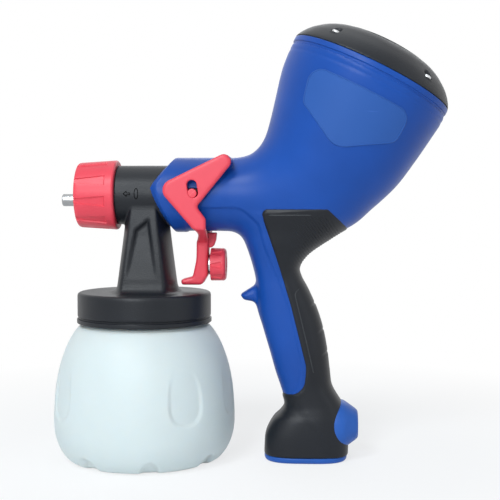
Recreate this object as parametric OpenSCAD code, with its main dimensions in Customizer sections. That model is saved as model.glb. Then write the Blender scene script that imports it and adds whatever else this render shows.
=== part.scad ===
// Handheld turbine paint sprayer. X runs from the nozzle to the back, Z is up,
// and the origin is the middle of the paint cup's base on the standing plane.

/* [Spray line] */
// Height of the barrel's axis above the standing plane
spray_z = 176; // [172:1:182]
// How far the nozzle's axis lies below the barrel's axis
nozzle_drop = 3.4; // [2.5:0.1:4]
// Where the nozzle's tip ends in front of the cup's axis
tip_x = -55; // [-58:1:-52]
// Radius of the steel nozzle tip
tip_r = 4.1; // [3.8:0.1:4.4]
// Radius of the paint needle
needle_r = 1.25; // [1:0.05:1.4]

/* [Air cap] */
// Front face of the red cap
cap_x = -43.5; // [-46:0.5:-42]
// Length of the red cap
cap_len = 26.5; // [25:0.5:29]
// Radius of the cap at its front
cap_front_r = 21.5; // [20.8:0.1:22]
// Radius of the cap at its back
cap_back_r = 23.2; // [22.6:0.1:24]
// Number of tapered grip flutes
flutes = 10; // [8:1:14]

/* [Spray head] */
// Radius of the barrel that plugs into the gun
barrel_r = 19.6; // [19.4:0.1:20]
// Back end of the barrel inside the gun
barrel_back = 30; // [28:1:30]
// Wall of the barrel
barrel_wall = 3; // [2.4:0.2:3.4]
// Underside of the lid's rim
lid_z = 91; // [88:1:93]
// Top of the lid
lid_top = 111.5; // [110:0.5:113]
// Radius of the paint pickup tube
pickup_r = 4; // [3.4:0.1:4.4]

/* [Cup] */
// Largest radius of the paint cup
cup_r = 60.5; // [59:0.5:62]
// Wall of the cup
cup_wall = 1.8; // [1.4:0.1:2.2]
// Radius of the cup's neck
neck_r = 40.6; // [40:0.1:41]
// Number of finger dimples round the belly, and of scallops round the foot
lobes = 8; // [6:1:9]

/* [Gun body] */
// Radius of the nose cowl round the barrel
cowl_r = 24.8; // [24.6:0.1:25.2]
// Wall of the body shells
wall = 3.2; // [2.8:0.1:3.6]
// Thickness of the rubber grip skin
skin_t = 1.6; // [1.2:0.1:2]
// Middle of the horn's mouth, along X
mouth_x = 151.7; // [150:0.5:153]
// Middle of the horn's mouth above the barrel's axis
mouth_rise = 81.1; // [80:0.5:82]
// Tilt of the horn's mouth towards the back
horn_tilt = 26.36; // [25:0.5:28]
// Radius of the horn's mouth
mouth_r = 55.4; // [55:0.1:56]
// Thickness of the blue foot plate
foot_t = 3.9; // [3:0.1:5]
// Radius of the cord inlet boss at its root
inlet_r = 16; // [15:0.5:16.5]
// Radius of the cord inlet's bore
inlet_bore_r = 4.5; // [4:0.1:5]

/* [Trigger] */
// Trigger pivot behind the cup's axis
pivot_x = 56.1; // [55:0.5:57]
// Trigger pivot above the barrel's axis
pivot_rise = 21.3; // [21:0.1:22]
// Half the gap between the trigger's cheeks
cheek_in = 26.4; // [26.2:0.1:27]
// Thickness of a trigger cheek
cheek_t = 3.4; // [3:0.1:4]
// Width of the finger lever
lever_w = 13.6; // [12:0.2:15]
// Radius of the red cross pin
cross_r = 1.9; // [1.7:0.1:2.1]
// Cross pin behind the cup's axis
cross_x = 35.3; // [35:0.1:36]

/* [Flow knob] */
// Radius of the flow knob
knob_r = 10.9; // [10:0.1:11.4]
// Length of the flow knob
knob_len = 10.2; // [9:0.1:10.6]
// Height of the flow knob's axis below the barrel's axis
knob_drop = 46.3; // [45:0.1:48]

/* [Turbine] */
// Number of fan blades
blades = 9; // [7:1:13]
// Radius of the motor's can
can_r = 26.5; // [25:0.5:27]
// Radius of the motor's shaft
shaft_r = 2.5; // [2:0.1:3]
// Height of the rear cover's dome
dome_h = 23.6; // [22:0.2:25]

/* [Hidden] */

// Clearances: a sliding or turning fit, a piece resting on its seat, and a free gap
fit = 0.08;
seat = 0.1;
gap = 0.3;
nozzle_z = spray_z - nozzle_drop;
pivot_z = spray_z + pivot_rise;
mouth_z = spray_z + mouth_rise;
knob_z = spray_z - knob_drop;
lid_r = neck_r + 4;
fan_r = mouth_r - 15.4;
cross_z = spray_z + 0.8;
blue = "#2352aa";
light_blue = "#3464b4";
red = "#f8505f";
black = "#262a32";
steel = "#c8ccd0";
brass = "#c8a050";

// ---- shared geometry ----

function unit(v) = v / norm(v);

// Point on a smooth curve through the list p, with t from 0 to len(p) - 1
function curve(p, t) = let (n = len(p) - 1, i = min(floor(t), n - 1), f = t - i,
    a = p[max(i - 1, 0)], b = p[i], c = p[i + 1], d = p[min(i + 2, n)])
    0.5 * (2 * b + (c - a) * f + (2 * a - 5 * b + 4 * c - d) * f * f
    + (3 * b - a - 3 * c + d) * f * f * f);

// Rounded outline: each corner is [x, y, radius]
function rounded(p, n = 5) = [for (i = [0:len(p) - 1])
    let (b = [p[i][0], p[i][1]], r = p[i][2],
        a = [p[(i + len(p) - 1) % len(p)][0], p[(i + len(p) - 1) % len(p)][1]],
        c = [p[(i + 1) % len(p)][0], p[(i + 1) % len(p)][1]],
        u = unit(a - b), v = unit(c - b), half = acos(u * v) / 2,
        m = b + unit(u + v) * r / sin(half), s = b + u * r / tan(half), e = b + v * r / tan(half))
    each r <= 0 ? [b] : [for (k = [0:n]) let (w = unit(mix(s - m, e - m, k / n))) m + w * r]];

function mix(a, b, t) = a + (b - a) * t;

// Surface through a stack of outlines with equal counts of points
module loft(rings, closed = false) {
    m = len(rings);
    n = len(rings[0]);
    last = closed ? m - 1 : m - 2;
    side = [for (j = [0:last], i = [0:n - 1])
        let (a = j * n + i, b = j * n + (i + 1) % n,
            c = ((j + 1) % m) * n + (i + 1) % n, d = ((j + 1) % m) * n + i)
        each [[a, b, c], [a, c, d]]];
    caps = closed ? [] : [[for (i = [n - 1:-1:0]) i], [for (i = [0:n - 1]) (m - 1) * n + i]];
    polyhedron([for (r = rings) each r], concat(side, caps), convexity = 8);
}

module along_x(x, z = spray_z) {
    translate([x, 0, z]) rotate([0, 90, 0]) children();
}

// The horn's own frame: local z points out of the mouth, 0 at the rim
module in_horn() {
    translate([mouth_x, 0, mouth_z]) rotate([0, horn_tilt, 0]) children();
}

module tube(r, bore, h) {
    difference() {
        cylinder(r = r, h = h, $fn = 96);
        translate([0, 0, -1]) cylinder(r = bore, h = h + 2, $fn = 96);
    }
}

// Coil of round wire along z, with its first and last turn closed up
function coil_point(r, h, turns, t) = [r * cos(360 * t * turns), r * sin(360 * t * turns), h * t];

module coil(r, wire, h, turns, steps = 8, sides = 6) {
    n = turns * steps;
    loft([for (k = [0:n]) let (t = k / n, c = coil_point(r, h, turns, t),
        d = unit([-sin(360 * t * turns), cos(360 * t * turns), h / (turns * 2 * PI * r)]),
        out = [cos(360 * t * turns), sin(360 * t * turns), 0], up = cross(out, d))
        [for (i = [0:sides - 1]) c + wire * (out * cos(360 * i / sides) + up * sin(360 * i / sides))]]);
}

// ---- gun body ----

// A body section is [x and z of its upper end, x and z of its lower end, half depth, roundness]
sz = spray_z;
mouth_u = [cos(horn_tilt), -sin(horn_tilt)];
mouth_w = [-sin(horn_tilt), -cos(horn_tilt)];
function mouth_section(d, r) = let (c = [mouth_x, mouth_z] + mouth_w * d)
    [c[0] - mouth_u[0] * r, c[1] - mouth_u[1] * r, c[0] + mouth_u[0] * r, c[1] + mouth_u[1] * r, r, 2];
// Mouth radius at which the sections below and the dome are drawn. A wider mouth spreads the horn
drawn_r = 55.4;
function spread(s, k) = let (g = (mouth_r - drawn_r) * k, d = unit([s[0] - s[2], s[1] - s[3]]) * g)
    [s[0] + d[0], s[1] + d[1], s[2] - d[0], s[3] - d[1], s[4] + g, s[5]];
horn = [
    [4, sz + cowl_r, 4, sz - cowl_r, cowl_r, 2],
    [50, sz + cowl_r, 50, sz - cowl_r, cowl_r, 2],
    [61, sz + 24.7, 63, sz - 25.8, 25.2, 2],
    [69, sz + 26.1, 85, sz - 29.5, 27.5, 2.1],
    [74, sz + 28.7, 112, sz - 29.5, 31, 2.15],
    [78.5, sz + 33.5, 137, sz - 21.2, 35, 2.15],
    spread([82, sz + 40.5, 152, sz - 9.2, 39, 2.1], 0.2),
    spread([85.2, sz + 52, 167.5, sz + 5.4, 43.5, 2.1], 0.4),
    spread([88.2, sz + 65, 180, sz + 22, 47.5, 2.05], 0.7),
    spread([92.3, sz + 82.3, 190.2, sz + 37, 51.5, 2], 0.9),
    spread([97, sz + 94.6, 196.2, sz + 46.2, 54.2, 2], 1),
    mouth_section(5.4, mouth_r - 0.5)];
handle = [
    [62, sz - 16, 140, sz - 13, 27, 2.3],
    [66, sz - 29, 124, sz - 28.5, 24.5, 2.3],
    [69.5, sz - 38.5, 109.5, sz - 39.5, 21.5, 2.4],
    [72, sz - 46.5, 104, sz - 47.5, 19.5, 2.5],
    [74, sz - 55, 105, sz - 54, 18, 2.5],
    [75, sz - 64, 109.5, sz - 62.5, 18, 2.5],
    [76.1, sz - 77.5, 115.5, sz - 76, 18, 2.5],
    [79.5, sz - 90, 119.5, sz - 89, 18, 2.5],
    [83.6, sz - 103.8, 122.2, sz - 103, 18, 2.5],
    [87.3, sz - 116.9, 123.8, sz - 116, 18, 2.5],
    [91, 48.1, 125.5, 49, 17.5, 2.5],
    [94.1, 37.5, 131.5, 38.5, 17.7, 2.6],
    [91.6, 32, 134, 33, 18.5, 2.7],
    [86.5, 26.8, 135.5, 27, 19.5, 2.8],
    [82, 18, 136.3, 18, 20, 2.9],
    [81, 9, 136.2, 9, 20, 3],
    [80.8, -2, 135.8, -2, 20, 3]];

// Half of a section, on the side of negative y, closed by a flat at y = past
function half_ring(s, off, n, past) = let (u = [s[0], s[1]], l = [s[2], s[3]], c = (u + l) / 2,
    h = norm(u - l) / 2 - off, d = unit(u - l), b = s[4] - off,
    arc = [for (i = [0:n]) let (t = 180 * i / n, ct = cos(t), st = sin(t),
        px = h * sign(ct) * pow(abs(ct), 2 / s[5]), py = -b * pow(abs(st), 2 / s[5]))
        [c[0] + d[0] * px, i == 0 || i == n ? 0 : py, c[1] + d[1] * px]])
    past <= 0 ? arc : concat([[arc[0][0], past, arc[0][2]]], arc, [[arc[n][0], past, arc[n][2]]]);

// The outer faces are drawn fine, and the faces inside the walls coarse
horn_fine = [11, 10, 9, 8.5, 8, 7.5, 7, 6.5, 6, 5.5, 5, 4.5, 4, 3.5, 3, 2.5, 2, 1, 0];
module horn_half(off, past = 0, fine = true) {
    loft([for (t = fine ? horn_fine : [each [11:-1:0]]) half_ring(curve(horn, t), off, fine ? 14 : 8, past)]);
}

handle_fine = [each [0:0.5:5], each [6:9], each [10:0.5:14], 15, 16];
module handle_half(off, past = 0, fine = true) {
    loft([for (t = fine ? handle_fine : [each [0:16]]) half_ring(curve(handle, t), off, fine ? 11 : 8, past)]);
}

// Rim band round the horn's mouth: a proud lip over a narrow groove
module rim_band() {
    in_horn() difference() {
        translate([0, 0, -5.6]) rotate_extrude($fn = 96)
            polygon([[mouth_r - wall, 0], [mouth_r - 1.2, 0], [mouth_r - 1.2, 1], [mouth_r - 0.2, 1.6],
                [mouth_r, 5.6], [mouth_r - wall, 5.6]]);
        translate([-100, 0, -10]) cube([200, 100, 20]);
    }
}

// The cowl's front edge is an arrow, chamfered all round
arrow_x = 7;
arrow_rise = 4.5;
function arrow_edge(a) = let (dz = 22 * sin(a) - arrow_rise, k = dz > 0 ? 0.71 : 0.47)
    arrow_x - 1.5 + sqrt(k * k * dz * dz + 2.25);
module arrow_cut() {
    loft([for (i = [29:-1:0]) let (a = 12 * i, e = arrow_edge(a), ca = cos(a), sa = sin(a),
        p = [[-12, 17], [e, 17], [e, barrel_r + 1.2], [e + 5.6, cowl_r + 3], [-12, cowl_r + 3]])
        [for (q = p) [q[0], q[1] * ca, spray_z + q[1] * sa]]], closed = true);
}

// Outline of the rubber grip panel, seen from the side
grip_outline = rounded([[80, sz - 9.2, 5], [121.9, sz - 9.2, 1], [137, sz - 23.2, 0], [160, sz - 40, 0],
    [160, foot_t, 0], [60, foot_t, 0], [60, 45, 0], [94, 45.4, 0], [104.6, 45.6, 9], [108.6, 63, 12],
    [98.3, sz - 72, 60], [88.6, sz - 40, 30], [81.2, sz - 18, 20]], 4);
module grip_prism(grow) {
    rotate([90, 0, 0]) translate([0, 0, -2]) linear_extrude(60) offset(delta = grow) polygon(grip_outline);
}

// Spur between the fingers, on the front of the handle
spur = rounded([[77, sz - 56, 0], [73.6, sz - 59.5, 3], [63.2, sz - 66.2, 2.2], [66.6, sz - 70.6, 3],
    [74.2, sz - 72, 4], [78, sz - 80, 0]], 4);
spur_half = 7;

screw_spots = [[72, sz + 16, 24], [151, sz + 3, 34], [89, sz + 38, 34], [98, sz - 19, 25], [84, sz - 74, 16],
    [105, 66, 16], [93, 15, 18], [117, 15, 18]];
post_r = 3.8;
screw_r = 1.5;

module handle_cavity(past) {
    intersection() {
        handle_half(wall + skin_t, past, false);
        translate([40, -60, foot_t + seat - 5]) cube([120, 80, spray_z]);
    }
}

// Ribs across the handle that hold a box-like piece between the two shells
module cradle(x, z, w, h, half) {
    translate([x, -17, z]) difference() {
        cube([w, 17, h]);
        translate([-1, 17 - half - seat, -1]) cube([w + 2, half + seat + 1, h + 2]);
    }
}

switch_x = 71;
switch_len = 20;
switch_half = 5;

module shell_half() {
    difference() {
        union() {
            difference() {
                union() {
                    horn_half(0);
                    handle_half(0);
                    translate([pivot_x, -cheek_in + gap, pivot_z]) rotate([-90, 0, 0])
                        cylinder(r = 4.4, h = 14, $fn = 32);
                    rotate([90, 0, 0]) linear_extrude(spur_half) polygon(spur);
                }
                difference() {
                    horn_half(wall, 1, false);
                    translate([-20, -60, 100]) cube([20 + barrel_back + 2, 80, 150]);
                }
                handle_cavity(1);
                translate([0, -60, -20]) cube([200, 80, 20 + foot_t + seat]);
                difference() {
                    grip_prism(0.1);
                    horn_half(skin_t, 3);
                    handle_half(skin_t, 3);
                }
            }
            rim_band();
            intersection() {
                union() {
                    for (p = screw_spots) translate([p[0], -p[2], p[1]]) rotate([-90, 0, 0])
                        cylinder(r = post_r, h = p[2], $fn = 32);
                    // pegs that carry the switch
                    for (k = [5, 15]) translate([switch_x + k, -26, spray_z]) rotate([-90, 0, 0])
                        cylinder(r = 2.4, h = 26 - switch_half - seat, $fn = 32);
                    for (z = [86, 100]) cradle(92, z, 18, 2, 5);
                    cradle(92, 93, 18, 2, 9);
                    cradle(84, 106, 13, 2, 0);
                    for (z = [112, 122]) cradle(84, z, 13, 2, 6.4);
                    cradle(104, 30, 16, 2, 5);
                    // ledge under the fan housing's flange
                    in_horn() translate([0, 0, -15.4]) difference() {
                        cylinder(r = mouth_r - 2, h = 3.3, $fn = 96);
                        translate([0, 0, -1]) cylinder(r = fan_r + 4.4, h = 6, $fn = 96);
                        translate([-60, 0, -1]) cube([120, 60, 6]);
                    }
                    // rib round the motor's rubber mount
                    in_horn() translate([0, 0, -88]) difference() {
                        translate([-60, -60, 0]) cube([120, 60, 3]);
                        translate([0, 0, -1]) cylinder(r = can_r + 3.7, h = 6, $fn = 96);
                    }
                    // posts that take the cover's screws
                    for (a = [50, 130]) in_horn() rotate([0, 0, -a]) translate([cover_screw_r, 0, -20])
                        cylinder(r = 3.6, h = 15.4, $fn = 32);
                }
                union() {
                    horn_half(skin_t + 0.3, 0, false);
                    handle_half(skin_t + 1.2, 0, false);
                }
            }
        }
        in_horn() translate([0, 0, -5.6]) cylinder(r = mouth_r - wall, h = 9, $fn = 128);
        in_horn() translate([0, 0, -12.1]) cylinder(r = mouth_r - 5.3, h = 9, $fn = 128);
        arrow_cut();
        along_x(-20) cylinder(r = barrel_r + 0.5, h = 20 + barrel_back + 2, $fn = 96);
        along_x(22) cylinder(r = barrel_r + 2.6, h = 6, $fn = 96);
        along_x(guide_x - 0.1) cylinder(r = guide_r + 0.1, h = 3.2, $fn = 96);
        // the cross pin's window
        translate([cross_x - cross_r - 0.6, -40, cross_z - cross_r - 0.4])
            cube([2 * cross_r + 5.4, 60, 2 * cross_r + 0.8]);
        translate([pivot_x, -40, pivot_z]) rotate([-90, 0, 0]) cylinder(r = 3.1, h = 41, $fn = 48);
        for (a = [50, 130]) in_horn() rotate([0, 0, -a]) translate([cover_screw_r, 0, -17])
            cylinder(r = screw_r + fit, h = 20, $fn = 32);
        along_x(125.9, 23) cylinder(r = inlet_r + 0.1, h = 30, $fn = 48);
    }
}

module housing_left() {
    color(blue) difference() {
        shell_half();
        for (p = screw_spots) translate([p[0], -14, p[1]]) rotate([-90, 0, 0])
            cylinder(r = screw_r + fit, h = 15, $fn = 32);
    }
}

module housing_right() {
    color(blue) difference() {
        mirror([0, 1, 0]) shell_half();
        for (p = screw_spots) translate([p[0], -1, p[1]]) rotate([-90, 0, 0]) {
            cylinder(r = screw_r + fit, h = 60, $fn = 32);
            translate([0, 0, 7]) cylinder(r = 3.2, h = 60, $fn = 32);
        }
    }
}

module grip_half() {
    difference() {
        intersection() {
            union() {
                horn_half(0);
                handle_half(0);
            }
            grip_prism(0);
        }
        horn_half(skin_t - 0.05, 3);
        handle_half(skin_t - 0.05, 3);
        translate([0, -60, -20]) cube([200, 80, 20 + foot_t + seat]);
        along_x(125.9, 23) cylinder(r = inlet_r + 0.1, h = 30, $fn = 48);
    }
}

module grip_left() { color(black) grip_half(); }

module grip_right() {
    color(black) difference() {
        mirror([0, 1, 0]) grip_half();
        for (p = screw_spots) translate([p[0], 0, p[1]]) rotate([-90, 0, 0])
            cylinder(r = 3.2, h = 60, $fn = 32);
    }
}

foot_mid = 108.4;
module foot_plate() {
    color(light_blue) difference() {
        translate([foot_mid, 0, 0]) linear_extrude(foot_t)
            polygon([for (i = [0:47]) let (a = 7.5 * i) [27.5 * sign(cos(a)) * pow(abs(cos(a)), 2 / 3),
                20 * sign(sin(a)) * pow(abs(sin(a)), 2 / 3)]]);
        for (x = [-16, 8]) translate([foot_mid + x, 0, -1]) {
            cylinder(r = screw_r + fit, h = 10, $fn = 32);
            cylinder(r = 3.2, h = 3, $fn = 32);
        }
    }
}

module foot_screws() {
    color(steel) for (x = [-16, 8]) translate([foot_mid + x, 0, 0.6]) {
        cylinder(r = 3, h = 1.4, $fn = 32);
        cylinder(r = screw_r, h = 9, $fn = 32);
    }
}

module housing_screws() {
    color(steel) for (p = screw_spots) translate([p[0], -12, p[1]]) rotate([-90, 0, 0]) {
        cylinder(r = screw_r, h = 18, $fn = 32);
        translate([0, 0, 18.1]) cylinder(r = 3, h = 2, $fn = 32);
        translate([0, 0, 17]) cylinder(r = screw_r, h = 2, $fn = 32);
    }
}

module cord_inlet() {
    color(light_blue) difference() {
        along_x(126, 23) rotate_extrude($fn = 96)
            polygon([[inlet_bore_r, 0], [inlet_r, 0], [inlet_r, 6.4], [10.2, 15.4], [9.2, 16.6], [8.2, 17],
                [inlet_bore_r + 1, 17], [inlet_bore_r, 16]]);
        translate([100, -40, -1]) cube([60, 80, foot_t + seat + 1]);
    }
}

// ---- rear cover and turbine ----

dome = [for (p = [[0, 0], [9, 0.4], [18, 1.6], [27, 3.2], [35, 5.4], [41, 8.2], [45.6, 11.4],
    [49.4, 14.6], [52.2, 17.8], [54.2, 20.8], [drawn_r, dome_h - 0.6]])
    [p[0] * mouth_r / drawn_r, dome_h - p[1]]];
cover_screw_r = mouth_r - 6.8;
cover_screw_at = [50, 130, 230, 310];
spigot_r = mouth_r - wall - 0.2;
module rear_cover() {
    outer = [for (t = [0:0.5:10]) curve(dome, t)];
    inner = [for (t = [8:-0.5:0]) let (p = curve(dome, t)) [p[0] * (1 - 2.4 / mouth_r), p[1] - 2.4]];
    // inside the dome's wall, where the screw bosses end
    within = [for (t = [5:0.5:9.5]) curve(dome, t) + [-0.8, -0.9]];
    color(black) in_horn() difference() {
        union() {
            difference() {
                rotate_extrude($fn = 128) polygon(concat(outer, [[mouth_r, 0.05], [spigot_r, 0.05],
                    [spigot_r, -4], [spigot_r - 2, -4], [spigot_r - 2, 1.6]], inner));
                // intake slots, in rings of arcs
                for (k = [0:4], s = [0:5]) rotate([0, 0, 60 * s + 5]) rotate_extrude(angle = 50, $fn = 96)
                    translate([9.9 + 5.35 * k, dome_h - 12]) square([2.4, 20]);
            }
            // ring that holds the filter down
            translate([0, 0, -1.9]) tube(fan_r - 0.5, fan_r - 2.5, dome_h - 6.3);
            intersection() {
                for (a = cover_screw_at) rotate([0, 0, a]) translate([cover_screw_r, 0, -4.5])
                    cylinder(r = 3.2, h = 20, $fn = 32);
                rotate_extrude($fn = 96) polygon(concat([[30, -5], [30, 17]], within, [[mouth_r - 1.4, -5]]));
            }
        }
        for (a = cover_screw_at) rotate([0, 0, a]) translate([cover_screw_r, 0, 0]) {
            translate([0, 0, -5]) cylinder(r = screw_r + fit, h = 20, $fn = 32);
            translate([0, 0, 4]) cylinder(r = 2.9, h = 20, $fn = 32);
        }
    }
}

module cover_screws() {
    color(steel) in_horn() for (a = cover_screw_at) rotate([0, 0, a]) translate([cover_screw_r, 0, -14]) {
        cylinder(r = screw_r, h = 19, $fn = 32);
        translate([0, 0, 18.1]) cylinder(r = 2.75, h = 2.2, $fn = 32);
    }
}

module air_filter() {
    color("#5a6068") in_horn() translate([0, 0, -9.95]) tube(fan_r + 3.5, 8, 7.9);
}

module fan_housing() {
    color("#3a3e46") in_horn() difference() {
        rotate_extrude($fn = 128) polygon([[15.4, -10], [mouth_r - 5.6, -10], [mouth_r - 5.6, -12],
            [fan_r + 4, -12], [fan_r + 4, -30], [fan_r + 2.4, -30], [fan_r + 2.4, -12], [17, -12],
            [17, -12.8], [15.4, -12.8]]);
        for (a = cover_screw_at) rotate([0, 0, a]) translate([cover_screw_r, 0, -20])
            cylinder(r = 4.2, h = 20, $fn = 32);
    }
}

module diffuser() {
    color("#3a3e46") in_horn() difference() {
        union() {
            translate([0, 0, -33]) cylinder(r1 = fan_r + 1.8, r2 = fan_r + 3.9, h = 2.9, $fn = 128);
            translate([0, 0, -31]) tube(fan_r + 2.3, fan_r + 0.9, 2.6);
        }
        translate([0, 0, -40]) cylinder(r = 8.6, h = 20, $fn = 64);
        for (s = [0:8]) rotate([0, 0, 40 * s]) rotate_extrude(angle = 30, $fn = 96)
            translate([fan_r - 10, -40]) square([9, 20]);
    }
}

fan_z = -28.6;
module blade() {
    // backward curved vane from the eye to the rim
    turn = 62;
    translate([0, 17, 0]) rotate([0, 0, -90]) rotate_extrude(angle = turn, $fn = 96)
        translate([27, 1.4]) square([1.3, 12.6]);
}
module turbine_fan() {
    color("#aeb4ba") in_horn() translate([0, 0, fan_z]) difference() {
        union() {
            cylinder(r = fan_r, h = 1.6, $fn = 128);
            cylinder(r = 7, h = 10, $fn = 64);
            intersection() {
                for (k = [0:blades - 1]) rotate([0, 0, 360 * k / blades]) blade();
                tube(fan_r, 12, 14);
            }
            translate([0, 0, 13.6]) tube(fan_r, 18, 1.4);
        }
        translate([0, 0, -1]) cylinder(r = shaft_r + 0.02, h = 20, $fn = 48);
    }
}

module motor_shaft() {
    color(steel) in_horn() translate([0, 0, can_bottom + 2.1]) cylinder(r = shaft_r, h = 69.9, $fn = 48);
}

module fan_nut() {
    color(brass) in_horn() translate([0, 0, fan_z + 10.1]) difference() {
        cylinder(r = 4.6, h = 3.4, $fn = 6);
        translate([0, 0, -1]) cylinder(r = shaft_r + 0.02, h = 6, $fn = 48);
    }
}

can_top = -33.1;
can_bottom = -88;
module motor_can() {
    color("#8d939a") in_horn() difference() {
        translate([0, 0, can_bottom]) cylinder(r = can_r, h = can_top - can_bottom, $fn = 96);
        translate([0, 0, can_bottom + 2]) cylinder(r = can_r - 1.5, h = can_top - can_bottom - 4, $fn = 96);
        // hole that the shaft runs out of
        translate([0, 0, can_top - 3]) cylinder(r = 5, h = 4, $fn = 48);
        // cooling windows
        for (s = [0:3]) rotate([0, 0, 90 * s + 20]) rotate_extrude(angle = 50, $fn = 96)
            translate([can_r - 4, can_bottom + 10]) square([8, 9]);
    }
}

module motor_core() {
    color("#6b7078") in_horn() translate([0, 0, -72]) difference() {
        cylinder(r = can_r - 1.5 - 0.02, h = 26, $fn = 96);
        translate([0, 0, -1]) cylinder(r = 18.3, h = 28, $fn = 96);
        // flats that leave the cooling air a way past
        for (s = [0, 180]) rotate([0, 0, s]) translate([-8, 21.5, -1]) cube([16, 10, 28]);
    }
}

module armature() {
    color("#b06a38") in_horn() difference() {
        union() {
            translate([0, 0, -72]) cylinder(r = 17.8, h = 26, $fn = 96);
            translate([0, 0, -75]) cylinder(r = 14.5, h = 33, $fn = 64);
        }
        for (s = [0:11]) rotate([0, 0, 30 * s]) translate([14.8, -1, -73]) cube([4, 2, 28]);
        translate([0, 0, -80]) cylinder(r = shaft_r + 0.02, h = 50, $fn = 48);
    }
}

module commutator() {
    color("#b87a3c") in_horn() translate([0, 0, -82]) difference() {
        cylinder(r = 7, h = 6.9, $fn = 64);
        for (s = [0:11]) rotate([0, 0, 30 * s]) translate([6.2, -0.25, -1]) cube([2, 0.5, 9]);
        translate([0, 0, -1]) cylinder(r = shaft_r + 0.02, h = 10, $fn = 48);
    }
}

module bearings() {
    color(steel) in_horn() for (z = [can_bottom + 2.02, can_top - 2 - 4.02])
        translate([0, 0, z]) tube(7.5, shaft_r + 0.02, 3.8);
}

module brushes() {
    color("#3c3c3e") in_horn() for (s = [0, 180]) rotate([0, 0, s])
        translate([-2.4, 7.1, -81.6]) cube([4.8, can_r - 1.5 - 7.1 - 0.6, 5]);
}

module motor_mount() {
    color("#202226") in_horn() translate([0, 0, can_bottom - 2.4]) difference() {
        cylinder(r = can_r + 3.6, h = 8.4, $fn = 96);
        translate([0, 0, 2.35]) cylinder(r = can_r + 0.05, h = 8, $fn = 96);
        translate([0, 0, -1]) cylinder(r = 18, h = 8, $fn = 96);
        // groove that the shells' rib drops into
        translate([0, 0, 2.3]) tube(can_r + 5, can_r + 3.5, 3.2);
    }
}

// ---- switch, wiring and cord ----

plunger_x = 66.5;
module power_switch() {
    color("#2c3038") difference() {
        translate([switch_x, -switch_half, spray_z - 5.5]) cube([switch_len, 2 * switch_half, 11]);
        along_x(switch_x - 1) cylinder(r = 1.6 + fit, h = 9, $fn = 32);
    }
}
module switch_plunger() {
    color(red) along_x(plunger_x) cylinder(r = 1.6, h = 7.6, $fn = 32);
}
module terminal_block() {
    color("#e8e6de") translate([92, -9, 88.1]) difference() {
        cube([15, 18, 11.8]);
        for (k = [0:2]) translate([-1, 3 + 6 * k, 6]) rotate([0, 90, 0]) cylinder(r = 1.6, h = 20, $fn = 24);
    }
}
module capacitor() {
    color("#c89a3a") translate([90, 0, 108.1]) cylinder(r = 6.4, h = 19.8, $fn = 48);
}
module cord_clamp() {
    color("#2c3038") translate([106, -8, 32.1]) difference() {
        cube([12, 16, 7]);
        translate([-1, 8, -2]) rotate([0, 90, 0]) cylinder(r = 4.5, h = 20, $fn = 32);
    }
}

// ---- needle drive ----

guide_x = 58.6;
guide_r = cowl_r - wall + 0.7;
module guide_plate() {
    color("#3a3e46") along_x(guide_x) {
        tube(guide_r, guide_r - 3.1, 3);
        tube(7, rod_r + fit, 6);
        for (s = [0:3]) rotate([0, 0, 90 * s]) translate([5.5, -1.5, 0]) cube([guide_r - 7, 3, 3]);
    }
}
module bayonet_ring() {
    color("#3a3e46") along_x(22.1) difference() {
        tube(barrel_r + 2.5, barrel_r + fit, 5.8);
        for (s = [45, 225]) rotate([0, 0, s]) rotate_extrude(angle = 90, $fn = 96)
            translate([barrel_r - 1, 3]) square([2, 4]);
    }
}
rod_r = 4;
plate_x = 22;
module draw_bar() {
    color("#c9ccc8") difference() {
        union() {
            along_x(plate_x) cylinder(r = 9.2, h = 2, $fn = 64);
            for (s = [-1, 1]) translate([plate_x + 1, s * 6.9 - 1.4, spray_z - 4]) cube([10, 2.8, 8]);
            translate([31, -8.3, spray_z - 5]) cube([9.5, 16.6, 10]);
            along_x(40) cylinder(r = rod_r, h = 26.4, $fn = 64);
            along_x(40) cylinder(r = 6.4, h = 2, $fn = 64);
        }
        translate([cross_x, -20, cross_z]) rotate([-90, 0, 0]) cylinder(r = cross_r + 0.02, h = 40, $fn = 48);
        // slot that the needle's neck swings along when the head is twisted
        along_x(plate_x - 1) rotate([0, 0, -52]) rotate_extrude(angle = 104, $fn = 64)
            translate([nozzle_drop - 1.6 - gap, 0]) square([3.2 + 2 * gap, 4]);
        along_x(plate_x - 1) translate([nozzle_drop, 0, 0]) cylinder(r = 1.6 + gap, h = 4, $fn = 32);
    }
}
module cross_pin() {
    pin_out = cheek_in + cheek_t - 0.6;
    color(red) translate([cross_x, -pin_out, cross_z]) rotate([-90, 0, 0])
        cylinder(r = cross_r, h = 2 * pin_out, $fn = 48);
}
module return_spring() {
    color(steel) along_x(42.7) coil(5.4, 0.55, 15.2, 8);
}

// ---- trigger ----

trigger_outline = rounded([[71.6, sz + 33.8, 4.6], [11.9, sz + 5.2, 7], [38.4, sz - 25.4, 3],
    [35.7, sz - 31, 6], [35.5, sz - 43, 30], [33, sz - 54.4, 2.5], [25, sz - 56.4, 1.5],
    [25.8, sz - 59.8, 1.5], [39.4, sz - 59.8, 4], [43.2, sz - 53, 5], [43.6, sz - 31, 2],
    [44.2, sz - 24, 2], [44.2, sz - 15.6, 2.5], [38.4, sz - 7.8, 2.5]], 4);
module trigger_section() {
    top = pivot_z + 12;
    half = lever_w / 2;
    polygon([[cheek_in, top], [cheek_in + cheek_t, top], [cheek_in + cheek_t, sz - 22.6], [half, sz - 31.5],
        [half, sz - 70], [-half, sz - 70], [-half, sz - 31.5], [-cheek_in - cheek_t, sz - 22.6],
        [-cheek_in - cheek_t, top], [-cheek_in, top], [-cheek_in, sz - 20.4], [-4, sz - 27.8], [4, sz - 27.8],
        [cheek_in, sz - 20.4]]);
}
screw_x0 = 37.6;
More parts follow.
